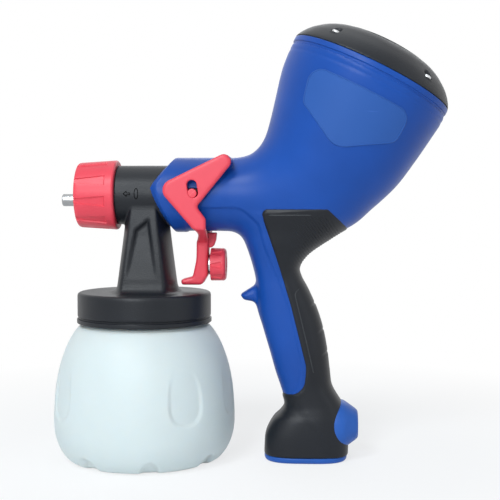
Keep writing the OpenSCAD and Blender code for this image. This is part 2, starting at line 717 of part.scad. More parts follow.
module trigger() {
    color(red) difference() {
        union() {
            intersection() {
                translate([0, 40, 0]) rotate([90, 0, 0]) linear_extrude(80) polygon(trigger_outline);
                rotate([90, 0, 90]) linear_extrude(90) trigger_section();
            }
            // rib that stiffens the back of the lever
            translate([0, 3, 0]) rotate([90, 0, 0]) linear_extrude(6)
                polygon([[42, sz - 28.4], [48.6, sz - 28.4], [47, sz - 33.4], [45.4, sz - 35], [42, sz - 35]]);
        }
        translate([pivot_x, -40, pivot_z]) rotate([-90, 0, 0]) cylinder(r = 2 + fit, h = 80, $fn = 48);
        // slots that push the cross pin
        translate([35.6, 0, sz + 3.6]) rotate([0, -10, 0]) for (z = [-2.6, 2.6])
            translate([0, -40, z]) rotate([-90, 0, 0]) cylinder(r = 3.15, h = 80, $fn = 48);
        translate([35.6, 0, sz + 3.6]) rotate([0, -10, 0]) translate([-3.15, -40, -2.6]) cube([6.3, 80, 5.2]);
        along_x(screw_x0, knob_z) cylinder(r = 2.5 + fit, h = 12, $fn = 48);
        along_x(39.4, knob_z) cylinder(r = 4.8, h = 12, $fn = 48);
    }
}
module trigger_pin() {
    out = cheek_in + cheek_t - 0.8;
    color(steel) translate([pivot_x, -out, pivot_z]) rotate([-90, 0, 0]) cylinder(r = 2, h = 2 * out, $fn = 48);
}
module pivot_bushings() {
    color(brass) for (s = [-1, 1]) translate([pivot_x, s * (cheek_in - gap - 5.1), pivot_z]) rotate([90, 0, 0])
        translate([0, 0, -5]) tube(3, 2 + fit, 10);
}
knob_x = 45;
module knob_collar() {
    color(steel) along_x(knob_x - 1.2, knob_z) tube(7, 2.5 + fit, 1.1);
}
module knob_spring() {
    color(steel) along_x(39.9, knob_z) coil(3.7, 0.4, 3.4, 3);
}
module flow_knob() {
    color(red) difference() {
        union() {
            along_x(knob_x, knob_z) cylinder(r = knob_r, h = knob_len, $fn = 96);
            along_x(screw_x0 + 0.4, knob_z) cylinder(r = 2.5, h = knob_x - screw_x0, $fn = 48);
        }
        for (k = [0:17]) along_x(knob_x - 1, knob_z) rotate([0, 0, 20 * k]) translate([knob_r + 0.5, 0, 0])
            cylinder(r = 1.3, h = knob_len - 0.6, $fn = 24);
        along_x(knob_x + knob_len - 1, knob_z) difference() {
            tube(knob_r + 1, knob_r - 0.1, 2);
            cylinder(r1 = knob_r, r2 = knob_r - 1.2, h = 1.2, $fn = 96);
        }
    }
}

// ---- spray head ----

stem_x = 2.2;
// A stem section at height z: half length a, half length c of the flat cheeks, half width b,
// and p, which is 2 for round ends and lower for leaner ones
function stem_ring(z, a, c, b, p) = [for (q = [0:3], k = [0:4]) let (t = 90 * q + 22.5 * k,
    ex = sign(cos(t)) * pow(abs(cos(t)), 2 / p), ey = sign(sin(t)) * pow(abs(sin(t)), 2 / p))
    if (k > 0 || q % 2 == 1) [stem_x + (q % 3 == 0 ? c : -c) + (a - c) * ex, b * ey, z]];
stem = [[sz - 4, 13, 8, 16, 1.25], [sz - 8.3, 14.3, 8, 17.7, 1.25], [sz - 22, 15.4, 9.2, 18.2, 1.3],
    [sz - 36, 16.8, 10.6, 18.8, 1.6], [lid_top + 5.6, 19.4, 12.8, 19.6, 1.9],
    [lid_top + 2.6, 20.4, 12.8, 20.4, 1.9], [lid_top + 1, 22.2, 12.9, 22, 1.9],
    [lid_top - 2.5, 22.4, 12.9, 22.4, 1.9]];
paint_x = 2.3;
vent_x = 13;
boss_front = -14;
boss_back = 15;
module spray_head() {
    color(black) difference() {
        union() {
            along_x(cap_x + cap_len) cylinder(r = barrel_r, h = barrel_back - cap_x - cap_len, $fn = 128);
            along_x(cap_x + cap_len + 0.2) cylinder(r1 = cap_back_r - 0.4, r2 = barrel_r - 0.1, h = 4, $fn = 128);
            along_x(cap_x + 6) cylinder(r = 17.6, h = cap_len - 5, $fn = 96);
            loft([for (s = stem) stem_ring(s[0], s[1], s[2], s[3], s[4])]);
            rotate_extrude($fn = 128) polygon([[0, lid_top], [lid_r - 7.2, lid_top], [lid_r - 3, lid_top - 1],
                [lid_r - 0.8, lid_top - 2.6], [lid_r, lid_top - 4.6], [lid_r, lid_z + 4.2], [lid_r - 0.9, lid_z + 4],
                [lid_r - 0.9, lid_z + 3], [lid_r + 0.4, lid_z + 2.8], [lid_r + 0.4, lid_z],
                [neck_r + 0.5, lid_z], [neck_r + 0.5, lid_top - 5], [0, lid_top - 5]]);
        }
        // air way round the paint boss
        difference() {
            union() {
                along_x(cap_x + 4) cylinder(r = 14.6, h = cap_len - 4, $fn = 96);
                along_x(cap_x + cap_len - 1) cylinder(r = barrel_r - barrel_wall, h = 80, $fn = 96);
            }
            along_x(boss_front, nozzle_z) cylinder(r = 8, h = boss_back - boss_front, $fn = 64);
            translate([boss_front, -4.6, spray_z - 20]) cube([boss_back - boss_front - 2, 9.2, 20 - nozzle_drop]);
            translate([boss_front + 4, -1.2, nozzle_z]) cube([16, 2.4, 22]);
        }
        // paint way and the seats along it
        along_x(boss_front - 1, nozzle_z) cylinder(r = 5.05, h = 1 - boss_front, $fn = 48);
        along_x(-1, nozzle_z) cylinder(r = 3, h = 7, $fn = 48);
        along_x(5.9, nozzle_z) cylinder(r = 3.65, h = 20, $fn = 48);
        translate([paint_x, 0, lid_top]) cylinder(r = 3, h = nozzle_z - lid_top, $fn = 48);
        translate([paint_x, 0, lid_top - 8]) cylinder(r = pickup_r + 0.05, h = 24, $fn = 48);
        // pressure way that feeds the cup
        translate([vent_x, 0, lid_top - 8]) cylinder(r = 1.6, h = spray_z - 10 - lid_top, $fn = 32);
        translate([vent_x, 0, lid_top - 8]) cylinder(r = 3.1, h = 6, $fn = 32);
    }
}
module nozzle_body() {
    color("#2e3238") along_x(-38, nozzle_z) difference() {
        union() {
            cylinder(r = 6.4, h = 38 + boss_front - 0.1, $fn = 64);
            cylinder(r = 5, h = 38 - 0.2, $fn = 64);
        }
        translate([0, 0, -1]) cylinder(r = 3.05, h = 10, $fn = 48);
        translate([0, 0, -1]) cylinder(r = 2.4, h = 50, $fn = 48);
    }
}
module nozzle_tip() {
    color(steel) along_x(tip_x, nozzle_z) rotate_extrude($fn = 96)
        polygon([[needle_r + 0.1, 0], [tip_r - 0.5, 0], [tip_r, 0.6], [tip_r, -38.1 - tip_x],
            [3, -38.1 - tip_x], [3, -30 - tip_x], [2.2, -30 - tip_x], [2.2, 4], [needle_r + 0.1, 2]]);
}
module air_insert() {
    color("#22252b") difference() {
        along_x(cap_x + 1.7) cylinder(r = 16.8, h = 3.2, $fn = 96);
        along_x(cap_x, nozzle_z) cylinder(r = tip_r + 1.4, h = 8, $fn = 64);
        along_x(cap_x + 3.4, nozzle_z) cylinder(r = 9.5, h = 8, $fn = 64);
    }
}
module air_cap() {
    color(red) along_x(cap_x) difference() {
        rotate_extrude($fn = 128) polygon([[12, 0], [cap_front_r - 1.6, 0], [cap_front_r - 0.5, 0.5],
            [cap_front_r, 1.6], [cap_back_r - 0.1, cap_len - 3.4], [cap_back_r, cap_len - 1.6],
            [cap_back_r - 0.7, cap_len], [17.7, cap_len], [17.7, 5], [16.9, 5], [16.9, 1.65], [12, 1.65]]);
        for (k = [0:flutes - 1]) rotate([0, 0, 360 * k / flutes + 11]) translate([cap_front_r - 0.6, 0, 0])
            rotate([0, atan((cap_back_r - cap_front_r) / cap_len), 0]) flute();
    }
}
// Flat wedge that is narrow at the front of the cap and wide at its back
module flute() {
    rotate([0, 90, 0]) linear_extrude(6) polygon([[1, -1.5], [-20.5, -3.4], [-20.5, 3.4], [1, 1.5]]);
}
module cap_seal() {
    color("#1c1e22") along_x(cap_x + 5.02) tube(17.5, 15.2, 0.9);
}
module needle() {
    color(steel) along_x(tip_x + 1.5, nozzle_z) {
        cylinder(r1 = 0.4, r2 = needle_r, h = 4, $fn = 32);
        translate([0, 0, 4]) cylinder(r = needle_r, h = plate_x - tip_x - 4, $fn = 32);
        translate([0, 0, plate_x - tip_x - 3.3]) cylinder(r = 3, h = 1.6, $fn = 32);
        translate([0, 0, plate_x - tip_x - 2]) cylinder(r = 1.6, h = 4, $fn = 32);
        translate([0, 0, plate_x - tip_x + 0.7]) cylinder(r = 3, h = 2, $fn = 32);
    }
}
module needle_packing() {
    color("#e8e6de") along_x(6, nozzle_z) tube(3.6, needle_r + 0.05, 3.8);
}
module packing_nut() {
    color(brass) along_x(9.9, nozzle_z) difference() {
        union() {
            cylinder(r = 3.55, h = 5.3, $fn = 48);
            translate([0, 0, 5.15]) cylinder(r = 5, h = 2.4, $fn = 6);
        }
        translate([0, 0, -1]) cylinder(r = needle_r + fit, h = 12, $fn = 32);
    }
}
bend_z = 62;
bend_r = 60;
bend_a = 24;
// The bent part is a hair thinner than the straight parts that overlap its ends
module pickup_form(r, over) {
    translate([paint_x, 0, bend_z - 0.3]) cylinder(r = r, h = lid_top + 15.8 + over - bend_z, $fn = 64);
    translate([paint_x - bend_r, 0, bend_z]) rotate([-90, 0, 0]) rotate_extrude(angle = bend_a, $fn = 96)
        translate([bend_r, 0]) circle(r = r - 0.06, $fn = 48);
    translate([paint_x - bend_r + bend_r * cos(bend_a), 0, bend_z - bend_r * sin(bend_a)]) rotate([0, bend_a, 0])
        translate([0, 0, -34 - over]) cylinder(r = r, h = 34.3 + over, $fn = 64);
}
module pickup_tube() {
    color("#e9ecec") difference() {
        pickup_form(pickup_r, 0);
        pickup_form(pickup_r - 1.1, 1);
    }
}
module vent_valve() {
    color("#e8e6de") translate([vent_x, 0, lid_top - 5.4]) difference() {
        cylinder(r = 3, h = 3.3, $fn = 32);
        translate([0, 0, -1]) cylinder(r = 1, h = 6, $fn = 24);
    }
}
neck_top = lid_top - 7.6;
module cup_gasket() {
    color("#5a6068") translate([0, 0, neck_top + 0.05]) tube(neck_r, neck_r - 8.1, lid_top - 5 - neck_top - 0.1);
}

// ---- cup ----

belly = [[cup_r - 16.5, 0], [cup_r - 10, 1.2], [cup_r - 6, 5], [cup_r - 2.7, 11], [cup_r - 0.5, 19],
    [cup_r, 28], [cup_r - 0.4, 38], [cup_r - 1.5, 50], [cup_r - 3.9, 62], [cup_r - 7.5, 73],
    [cup_r - 11.5, 81], [neck_r + 3.6, 86.6], [neck_r + 0.6, 88.6], [neck_r, 89.6]];
function belly_in(t) = let (p = curve(belly, t), d = unit(curve(belly, min(t + 0.1, 13)) - curve(belly, max(t - 0.1, 0))))
    [p[0] - d[1] * cup_wall, max(p[1] + d[0] * cup_wall, cup_wall)];
module dimples(grow) {
    for (k = [0:lobes - 1]) {
        rotate([0, 0, 360 * k / lobes - 55.5]) translate([cup_r - 1.4 + 40, 0, 34])
            sphere(r = 40 + grow, $fn = 96);
        rotate([0, 0, 360 * k / lobes - 78]) translate([cup_r, 0, -1.4]) sphere(r = 10 + grow, $fn = 48);
    }
}
module cup() {
    outer = [for (t = [0:0.5:13]) curve(belly, t)];
    inner = [for (t = [13:-0.5:0]) belly_in(t)];
    color("#e6f2f6") difference() {
        difference() {
            rotate_extrude($fn = 128) polygon(concat([[0, 0]], outer, [[neck_r, neck_top], [0, neck_top]]));
            dimples(0);
        }
        difference() {
            rotate_extrude($fn = 128) polygon(concat([[0, neck_top + 1], [neck_r - cup_wall - 0.6, neck_top + 1],
                [neck_r - cup_wall - 0.6, 89.6]], [for (p = inner) if (p[1] < 88.6) p], [[0, cup_wall]]));
            dimples(cup_wall);
        }
    }
}

housing_left();
housing_right();
grip_left();
grip_right();
foot_plate();
cord_inlet();
housing_screws();
foot_screws();
rear_cover();
cover_screws();
air_filter();
fan_housing();
diffuser();
turbine_fan();
motor_shaft();
fan_nut();
motor_can();
motor_core();
armature();
commutator();
bearings();
brushes();
motor_mount();
power_switch();
switch_plunger();
terminal_block();
capacitor();
cord_clamp();
guide_plate();
bayonet_ring();
draw_bar();
cross_pin();
return_spring();
pivot_bushings();
trigger_pin();
trigger();
knob_collar();
knob_spring();
flow_knob();
spray_head();
nozzle_body();
nozzle_tip();
air_insert();
air_cap();
cap_seal();
needle();
needle_packing();
packing_nut();
pickup_tube();
vent_valve();
cup_gasket();
cup();
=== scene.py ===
# Handheld turbine paint sprayer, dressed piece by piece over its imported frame.
# Sizes are in millimetres until a mesh is made; the frame itself is in metres.
import bpy
import numpy as np
from math import acos, cos, pi, radians, sin, sqrt, tan
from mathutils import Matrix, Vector


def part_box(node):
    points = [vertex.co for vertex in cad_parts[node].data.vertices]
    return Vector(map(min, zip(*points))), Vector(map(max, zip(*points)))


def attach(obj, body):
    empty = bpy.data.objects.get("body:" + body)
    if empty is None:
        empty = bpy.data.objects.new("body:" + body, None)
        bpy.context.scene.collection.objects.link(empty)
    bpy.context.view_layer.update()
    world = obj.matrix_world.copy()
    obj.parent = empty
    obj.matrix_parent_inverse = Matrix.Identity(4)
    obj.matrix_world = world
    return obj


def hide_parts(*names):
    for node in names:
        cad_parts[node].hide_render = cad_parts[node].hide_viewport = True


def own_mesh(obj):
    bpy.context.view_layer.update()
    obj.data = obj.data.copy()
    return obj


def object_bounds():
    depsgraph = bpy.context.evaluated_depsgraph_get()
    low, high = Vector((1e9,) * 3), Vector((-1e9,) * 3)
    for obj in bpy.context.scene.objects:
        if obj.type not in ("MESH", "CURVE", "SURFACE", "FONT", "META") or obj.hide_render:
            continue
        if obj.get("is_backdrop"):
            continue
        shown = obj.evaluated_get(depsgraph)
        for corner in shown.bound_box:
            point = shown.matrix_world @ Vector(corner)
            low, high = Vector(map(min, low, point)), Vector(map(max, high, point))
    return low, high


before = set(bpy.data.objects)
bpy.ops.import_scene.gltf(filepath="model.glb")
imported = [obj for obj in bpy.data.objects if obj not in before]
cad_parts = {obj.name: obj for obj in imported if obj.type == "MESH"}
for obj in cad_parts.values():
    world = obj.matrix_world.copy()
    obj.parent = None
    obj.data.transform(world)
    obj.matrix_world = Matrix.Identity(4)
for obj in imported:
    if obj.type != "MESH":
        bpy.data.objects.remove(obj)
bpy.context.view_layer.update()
coarse = 1.0

# ---- Stand, camera and light ----
# The gun stands on its paint cup and on the foot of its handle, on a white paper sweep in a small
# studio. The camera stands level with the barrel, a little over half a metre away.


def placed(name, data):
    thing = bpy.data.objects.new(name, data)
    bpy.context.scene.collection.objects.link(thing)
    return thing


camera = placed("camera", bpy.data.cameras.new("camera"))
bpy.context.scene.camera = camera
camera_down, camera_left = 2.684, 2.862
film, focal_pixels, picture_pixels = 36, 960, 500
camera.location = (0.103, -0.640, 0.16933)
camera.rotation_euler = (radians(90 - camera_down), 0, radians(camera_left))
camera.data.sensor_width = film
camera.data.lens = film * focal_pixels / picture_pixels

half = 3
paper = bpy.data.meshes.new("paper")
paper.from_pydata([(-half, -half, 0), (half, -half, 0), (half, half, 0), (-half, half, 0)], [],
                  [(0, 1, 2, 3)])
floor = placed("floor", paper)
floor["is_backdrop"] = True


def add(tree, kind, inputs=None):
    """New shader node. Each input takes a value, or the output of another node."""
    made = tree.nodes.new(kind)
    for key, value in (inputs or {}).items():
        if isinstance(value, bpy.types.NodeSocket):
            tree.links.new(value, made.inputs[key])
        else:
            made.inputs[key].default_value = value
    return made


def direct_sight(tree):
    """1 for what the lens, a gloss or a clear piece looks at, 0 for light that falls on the gun."""
    rays = add(tree, "ShaderNodeLightPath")
    best = rays.outputs["Is Camera Ray"]
    for other in ("Is Glossy Ray", "Is Transmission Ray"):
        pick = add(tree, "ShaderNodeMath", {0: best, 1: rays.outputs[other]})
        pick.operation = "MAXIMUM"
        best = pick.outputs[0]
    return best


def mixed(tree, share, first, second, out_kind):
    both = add(tree, "ShaderNodeMixShader",
               {"Fac": share, 1: first.outputs[0], 2: second.outputs[0]})
    add(tree, out_kind, {"Surface": both.outputs[0]})


# the sheet keeps the gun's shadow near its foot and goes over into white away from it
gun_foot, shadow_near, shadow_far, near_white = (0.05, 0, 0), 0.16, 0.42, 0.72
paper_finish = bpy.data.materials.new("paper")
paper_finish.use_nodes = True
tree = paper_finish.node_tree
tree.nodes.clear()
sheet = add(tree, "ShaderNodeBsdfDiffuse", {"Color": (0.93, 0.94, 0.95, 1)})
glow = add(tree, "ShaderNodeEmission", {"Color": (1, 1, 1, 1)})
place = add(tree, "ShaderNodeTexCoord")
away = add(tree, "ShaderNodeVectorMath", {0: place.outputs["Object"], 1: gun_foot})
away.operation = "DISTANCE"
fade = add(tree, "ShaderNodeMapRange", {"Value": away.outputs["Value"], "From Min": shadow_near,
                                        "From Max": shadow_far, "To Min": near_white, "To Max": 1})
share = add(tree, "ShaderNodeMath", {0: direct_sight(tree), 1: fade.outputs["Result"]})
share.operation = "MULTIPLY"
mixed(tree, share.outputs[0], sheet, glow, "ShaderNodeOutputMaterial")
paper.materials.append(paper_finish)

room = bpy.data.worlds.new("room")
bpy.context.scene.world = room
room.use_nodes = True
tree = room.node_tree
tree.nodes.clear()
soft = add(tree, "ShaderNodeBackground", {"Color": (0.86, 0.94, 1, 1), "Strength": 0.34})
white = add(tree, "ShaderNodeBackground", {"Color": (1, 1, 1, 1), "Strength": 1})
mixed(tree, direct_sight(tree), soft, white, "ShaderNodeOutputWorld")

lamp_tint = (0.91, 0.965, 1)
for name, stand, aim, size, watts in (
        ("lamp_key", (-0.4, -0.95, 1.15), (0.05, 0, 0.15), (0.4, 0.4), 9.6),
        ("lamp_front", (-0.22, -1.2, 0.5), (0.05, 0, 0.15), (0.3, 0.3), 6),
        ("lamp_right", (1.1, -0.7, 0.5), (0.1, 0, 0.15), (0.5, 0.9), 1.2),
        ("lamp_top", (0.1, 0.2, 1.3), (0.1, 0, 0.1), (0.9, 0.9), 1.8),
        ("lamp_back", (0.2, 1.2, 0.7), (0.1, 0, 0.15), (0.9, 0.6), 2)):
    lamp = placed(name, bpy.data.lights.new(name, "AREA"))
    lamp.data.shape = "RECTANGLE"
    lamp.data.size, lamp.data.size_y = size
    lamp.data.energy = watts
    lamp.data.color = lamp_tint
    lamp.location = stand
    lamp.rotation_euler = (Vector(aim) - Vector(stand)).to_track_quat("-Z", "Y").to_euler()
bpy.context.scene.view_settings.view_transform = "Standard"

# ---- Body shells ----
# The gun's body is a pair of glass-filled nylon shells, moulded in blue and screwed together
# from the right. Their horn takes the turbine, their cowl the barrel and their handle the wiring.

# a station has its two edges in the side view (x, z, x, z), its half depth and its oval's power
horn = [[4, 200.8, 4, 151.2, 24.8, 2], [50, 200.8, 50, 151.2, 24.8, 2],
        [61, 200.7, 63, 150.2, 25.2, 2], [69, 202.1, 85, 146.5, 27.5, 2.1],
        [74, 204.7, 112, 146.5, 31, 2.15], [78.5, 209.5, 137, 154.8, 35, 2.15],
        [82, 216.5, 152, 166.8, 39, 2.1], [85.2, 228, 167.5, 181.4, 43.5, 2.1],
        [88.2, 241, 180, 198, 47.5, 2.05], [92.3, 258.3, 190.2, 213, 51.5, 2],
        [97, 270.6, 196.2, 222.2, 54.2, 2], [100.11, 276.64, 198.49, 227.88, 54.9, 2]]
handle = [[62, 160, 140, 163, 27, 2.3], [66, 147, 124, 147.5, 24.5, 2.3],
          [69.5, 137.5, 109.5, 136.5, 21.5, 2.4], [72, 129.5, 104, 128.5, 19.5, 2.5],
          [74, 121, 105, 122, 18, 2.5], [75, 112, 109.5, 113.5, 18, 2.5],
          [76.1, 98.5, 115.5, 100, 18, 2.5], [79.5, 86, 119.5, 87, 18, 2.5],
          [83.6, 72.2, 122.2, 73, 18, 2.5], [87.3, 59.1, 123.8, 60, 18, 2.5],
          [91, 48.1, 125.5, 49, 17.5, 2.5], [94.1, 37.5, 131.5, 38.5, 17.7, 2.6],
          [91.6, 32, 134, 33, 18.5, 2.7], [86.5, 26.8, 135.5, 27, 19.5, 2.8],
          [82, 18, 136.3, 18, 20, 2.9], [81, 9, 136.2, 9, 20, 3], [80.8, -2, 135.8, -2, 20, 3]]
axis_z = 176
# the mouth's own frame: u across it, w out of it; its rim stands rim_w from the frame's origin
tilt = radians(26.36)
tilt_sin, tilt_cos = sin(tilt), cos(tilt)
mouth = (151.7, 257.1)
rim_w = -2.2


def smoothed(stations, t):
    """Stations read at t, on a smooth curve through them."""
    p = np.array(stations, float)
    last = len(p) - 1
    i = np.clip(np.floor(t).astype(int), 0, last - 1)
    f = (t - i)[..., None]
    a, b, c, d = p[np.maximum(i - 1, 0)], p[i], p[i + 1], p[np.minimum(i + 2, last)]
    return 0.5 * (2 * b + (c - a) * f + (2 * a - 5 * b + 4 * c - d) * f * f
                  + (3 * b - a - 3 * c + d) * f ** 3)


def hose_depth(stations, way, x, y, z):
    """How far a point lies outside the skin of a form lofted through the stations, and past its
    two ends."""
    x2, z2 = np.broadcast_arrays(x, z)
    low, high = np.zeros(x2.shape), np.full(x2.shape, len(stations) - 1.0)
    nowhere, end = -1e3, 0.001

    def frame_at(t):
        s = smoothed(stations, t)
        dx, dz = s[..., 0] - s[..., 2], s[..., 1] - s[..., 3]
        long = np.hypot(dx, dz)
        dx, dz = dx / long, dz / long
        px, pz = x2 - (s[..., 0] + s[..., 2]) / 2, z2 - (s[..., 1] + s[..., 3]) / 2
        return s, dx, dz, long / 2, px, pz, way * (px * dz - pz * dx)
    for _ in range(20):
        mid = (low + high) / 2
        ahead = frame_at(mid)[-1] > 0
        low, high = np.where(ahead, mid, low), np.where(ahead, high, mid)
    t = (low + high) / 2
    s, dx, dz, half, px, pz, over = frame_at(t)
    u = (px * dx + pz * dz).astype(np.float32)
    half, deep, n = (v.astype(np.float32) for v in (half, s[..., 4], s[..., 5]))
    ratio = ((np.abs(y) / deep + 1e-9) ** n + (np.abs(u) / half) ** n) ** (1 / n)
    reach = np.sqrt(y * y + u * u)
    skin = reach - reach / np.maximum(ratio, 1e-6)
    return (skin, np.where(t < end, -over, nowhere),
            np.where(t > len(stations) - 1 - end, over, nowhere))


def join(a, b, r):
    """Two forms as one, with a fillet of about r."""
    return np.minimum(a, b) - np.maximum(r - np.abs(a - b), 0) ** 2 / (4 * r)


def keep(a, b, r):
    """What two forms share, with its edge rounded by about r."""
    return np.maximum(a, b) + np.maximum(r - np.abs(a - b), 0) ** 2 / (4 * r)


def ramp(value):
    t = np.clip(value, 0, 1)
    return t * t * (3 - 2 * t)


def off_nearest(value, pitch):
    """How far a value lies from the nearest multiple of pitch."""
    return (value + pitch / 2) % pitch - pitch / 2


def path_distance(points, x, z):
    p = np.array(points, float)
    best = np.full(np.broadcast(x, z).shape, 1e9)
    for (ax, az), (bx, bz) in zip(p[:-1], p[1:]):
        ex, ez = bx - ax, bz - az
        t = np.clip(((x - ax) * ex + (z - az) * ez) / (ex * ex + ez * ez), 0, 1)
        best = np.minimum(best, np.hypot(x - ax - t * ex, z - az - t * ez))
    return best


def outline(points, x, z):
    """Distance from a closed outline seen from the side, below zero inside it."""
    p = np.array(points, float)
    inside = np.zeros(np.broadcast(x, z).shape, bool)
    for (ax, az), (bx, bz) in zip(p, np.roll(p, -1, 0)):
        if az != bz:
            inside ^= ((az > z) != (bz > z)) & (x < (bx - ax) * (z - az) / (bz - az) + ax)
    best = path_distance(np.vstack([p, p[:1]]), x, z)
    return np.where(inside, -best, best)


def unit(v):
    return v / np.linalg.norm(v, axis=-1, keepdims=True)


def area(p):
    """Twice an outline's area, below zero where it runs clockwise."""
    return np.sum(p[:, 0] * np.roll(p[:, 1], -1) - np.roll(p[:, 0], -1) * p[:, 1])


def rounded(points):
    """Closed outline from corners given as (a, b, radius)."""
    p = [np.array(q[:2], float) for q in points]
    done, step = [], 0.2
    for i, q in enumerate(points):
        if len(q) < 3 or not q[2]:
            done.append(tuple(p[i]))
            continue
        a, c = unit(p[i - 1] - p[i]), unit(p[(i + 1) % len(p)] - p[i])
        half = acos(max(-1, min(1, float(a @ c)))) / 2
        steps = max(3, int((pi - 2 * half) / step))
        start, stop = p[i] + a * q[2] / tan(half), p[i] + c * q[2] / tan(half)
        mid = p[i] + unit(a + c) * q[2] / sin(half)
        for k in range(steps + 1):
            w = (start - mid) * (1 - k / steps) + (stop - mid) * k / steps
            done.append(tuple(mid + unit(w) * q[2]))
    return done


def smooth_mesh(name, points, faces, crease=40):
    mesh = bpy.data.meshes.new(name)
    mesh.from_pydata((np.asarray(points) * 0.001).tolist(), [], [list(map(int, f)) for f in faces])
    mesh.validate()
    mesh.shade_smooth()
    mesh.update()
    if crease:
        mesh.set_sharp_from_angle(angle=radians(crease))
    return placed(name, mesh)


def mould(name, depth, box, cell, sides=1, right_cut=None, ripple=2, crease=40):
    """Mesh the skin where depth(x, y, z) is zero; it is below zero inside. With sides = 1 the
    half at y > 0 is worked out and mirrored, and right_cut bores the right half alone."""
    cell = cell * coarse
    lines = [np.arange(a - cell, b + 2 * cell, cell) for a, b in box]
    if sides == 1:
        lines[1] = np.arange(cell / 2, -box[1][0] + 2 * cell, cell)
    grid = np.ix_(*lines)
    field = depth(*grid).astype(np.float32)
    if sides == 1:
        right = keep(field, -right_cut(*grid), 0.3).astype(np.float32) if right_cut else field
        field = np.concatenate([field[:, ::-1], right], 1)
        lines[1] = np.concatenate([-lines[1][::-1], lines[1]])
    solid = field < 0
    cut = tuple(slice(None, -1) if c == 0 else slice(1, None) for c in (0, 1))
    corners = [(i, j, k) for i in (0, 1) for j in (0, 1) for k in (0, 1)]
    count = sum(solid[cut[i], cut[j], cut[k]].astype(np.int8) for i, j, k in corners)
    busy = (count > 0) & (count < 8)
    # one point in each cell that the skin crosses, at the mean of its edges' crossings
    at = np.stack(np.nonzero(busy), 1)
    total, hits = np.zeros((len(at), 3)), np.zeros(len(at))
    for axis in range(3):
        for c in corners:
            if c[axis]:
                continue
            end = list(c)
            end[axis] = 1
            a, b = field[tuple((at + c).T)], field[tuple((at + end).T)]
            hit = (a < 0) != (b < 0)
            step = np.where(hit, a / np.where(hit, a - b, 1), 0)
            total += np.where(hit[:, None], c + step[:, None] * (np.array(end) - c), 0)
            hits += hit
    total /= hits[:, None]
    points = np.stack([lines[k][at[:, k]]
                       + total[:, k] * (lines[k][at[:, k] + 1] - lines[k][at[:, k]])
                       for k in range(3)], 1)
    number = np.full(busy.shape, -1, np.int32)
    number[busy] = np.arange(len(at))
    # one quad for each edge of the grid that the skin crosses
    quads = []
    for axis in range(3):
        b, c = (axis + 1) % 3, (axis + 2) % 3
        near = [slice(None)] * 3
        near[b] = near[c] = slice(1, -1)
        first, second = list(near), list(near)
        first[axis], second[axis] = slice(None, -1), slice(1, None)
        before = solid[tuple(first)]
        spot = np.stack(np.nonzero(before != solid[tuple(second)]), 1)
        outward = before[tuple(spot.T)]
        ring = []
        for db, dc in ((0, 0), (1, 0), (1, 1), (0, 1)):
            s = spot.copy()
            s[:, b] += db
            s[:, c] += dc
            ring.append(number[tuple(s.T)])
        ring = np.stack(ring, 1)
        quads.append(np.where(outward[:, None], ring, ring[:, ::-1]))
    quads = np.concatenate(quads)
    # even out the grid's ripple: a pass in, and a pass back out
    for pull in (0.5, -0.52) * ripple:
        around, shares = np.zeros_like(points), np.zeros(len(points))
        for k in range(4):
            for m in ((k + 1) % 4, (k + 3) % 4):
                for n in range(3):
                    around[:, n] += np.bincount(quads[:, k], points[quads[:, m], n], len(points))
                shares += np.bincount(quads[:, k], minlength=len(points))
        points = points + pull * (around / shares[:, None] - points)
    return smooth_mesh(name, points, quads, crease)


def bands(rows, around, closed=False, start=0):
    """Quads between neighbouring rings of points."""
    return [(start + j * around + i, start + j * around + (i + 1) % around,
             start + (j + 1) % rows * around + (i + 1) % around,
             start + (j + 1) % rows * around + i)
            for j in range(rows if closed else rows - 1) for i in range(around)]


def mouth_frame(x, z):
    return ((x - mouth[0]) * tilt_cos - (z - mouth[1]) * tilt_sin,
            (x - mouth[0]) * tilt_sin + (z - mouth[1]) * tilt_cos)


def on_mouth(r, a, w):
    """Place of a point at radius r and angle a about the mouth's axis, w out along it."""
    u = r * cos(a)
    return (mouth[0] + u * tilt_cos + w * tilt_sin, r * sin(a),
            mouth[1] - u * tilt_sin + w * tilt_cos)


spur = rounded([(78, 120), (73.8, 116.6, 4), (63.1, 109.8, 2.2), (66.6, 105.3, 3), (74.2, 104, 5),
                (79, 94)])
spur_deep, foot_top, cowl_front = 7, 3.95, 4


def body_form(x, y, z):
    """The outside of horn, cowl, handle and finger spur as one form."""
    side, _, mouth_over = hose_depth(horn, 1, x, y, z)
    grip, top_over, _ = hose_depth(handle, -1, x, y, z)
    body = keep(side, np.maximum(mouth_over, cowl_front - x), 0.6)
    body = join(body, keep(np.maximum(grip, top_over), foot_top - z, 0.8), 7)
    return join(body, keep(outline(spur, x, z), np.abs(y) - spur_deep, 5), 3), side, grip


neck_panel = rounded([(30, 167.4), (66, 167.4, 12), (77.6, 157.5, 9), (81.2, 143, 40),
                      (92.6, 115, 60), (97.8, 100, 60), (105.4, 66, 14), (103, 47, 12), (90, 42),
                      (60, 40), (30, 100)])
grip_outline = rounded([(79.2, 166.8, 3.5), (121.9, 166.8, 2.5), (137, 152.8), (160, 136), (160, 2),
                        (60, 2), (60, 45.2), (94, 45.2), (106.6, 45.6, 10), (108.6, 63, 14),
                        (98.3, 104, 60), (88.6, 136, 40), (81.2, 158, 30)])
panel_sink, skin_sink, edge_wide = 0.8, 1.2, 1.2
shell_wall, handle_wall, hollow_top = 3.2, 4.8, 150
seam, seam_wide = 0.3, 0.5
mouth_bore, cowl_bore, cowl_deep = 52.2, 20.1, 32
pivot_x, pivot_z, boss_r, boss_out = 56.1, 197.3, 4.3, 26.1
pin_z, slot_from, slot_to, slot_r = 176.8, 33.6, 41, 3.1
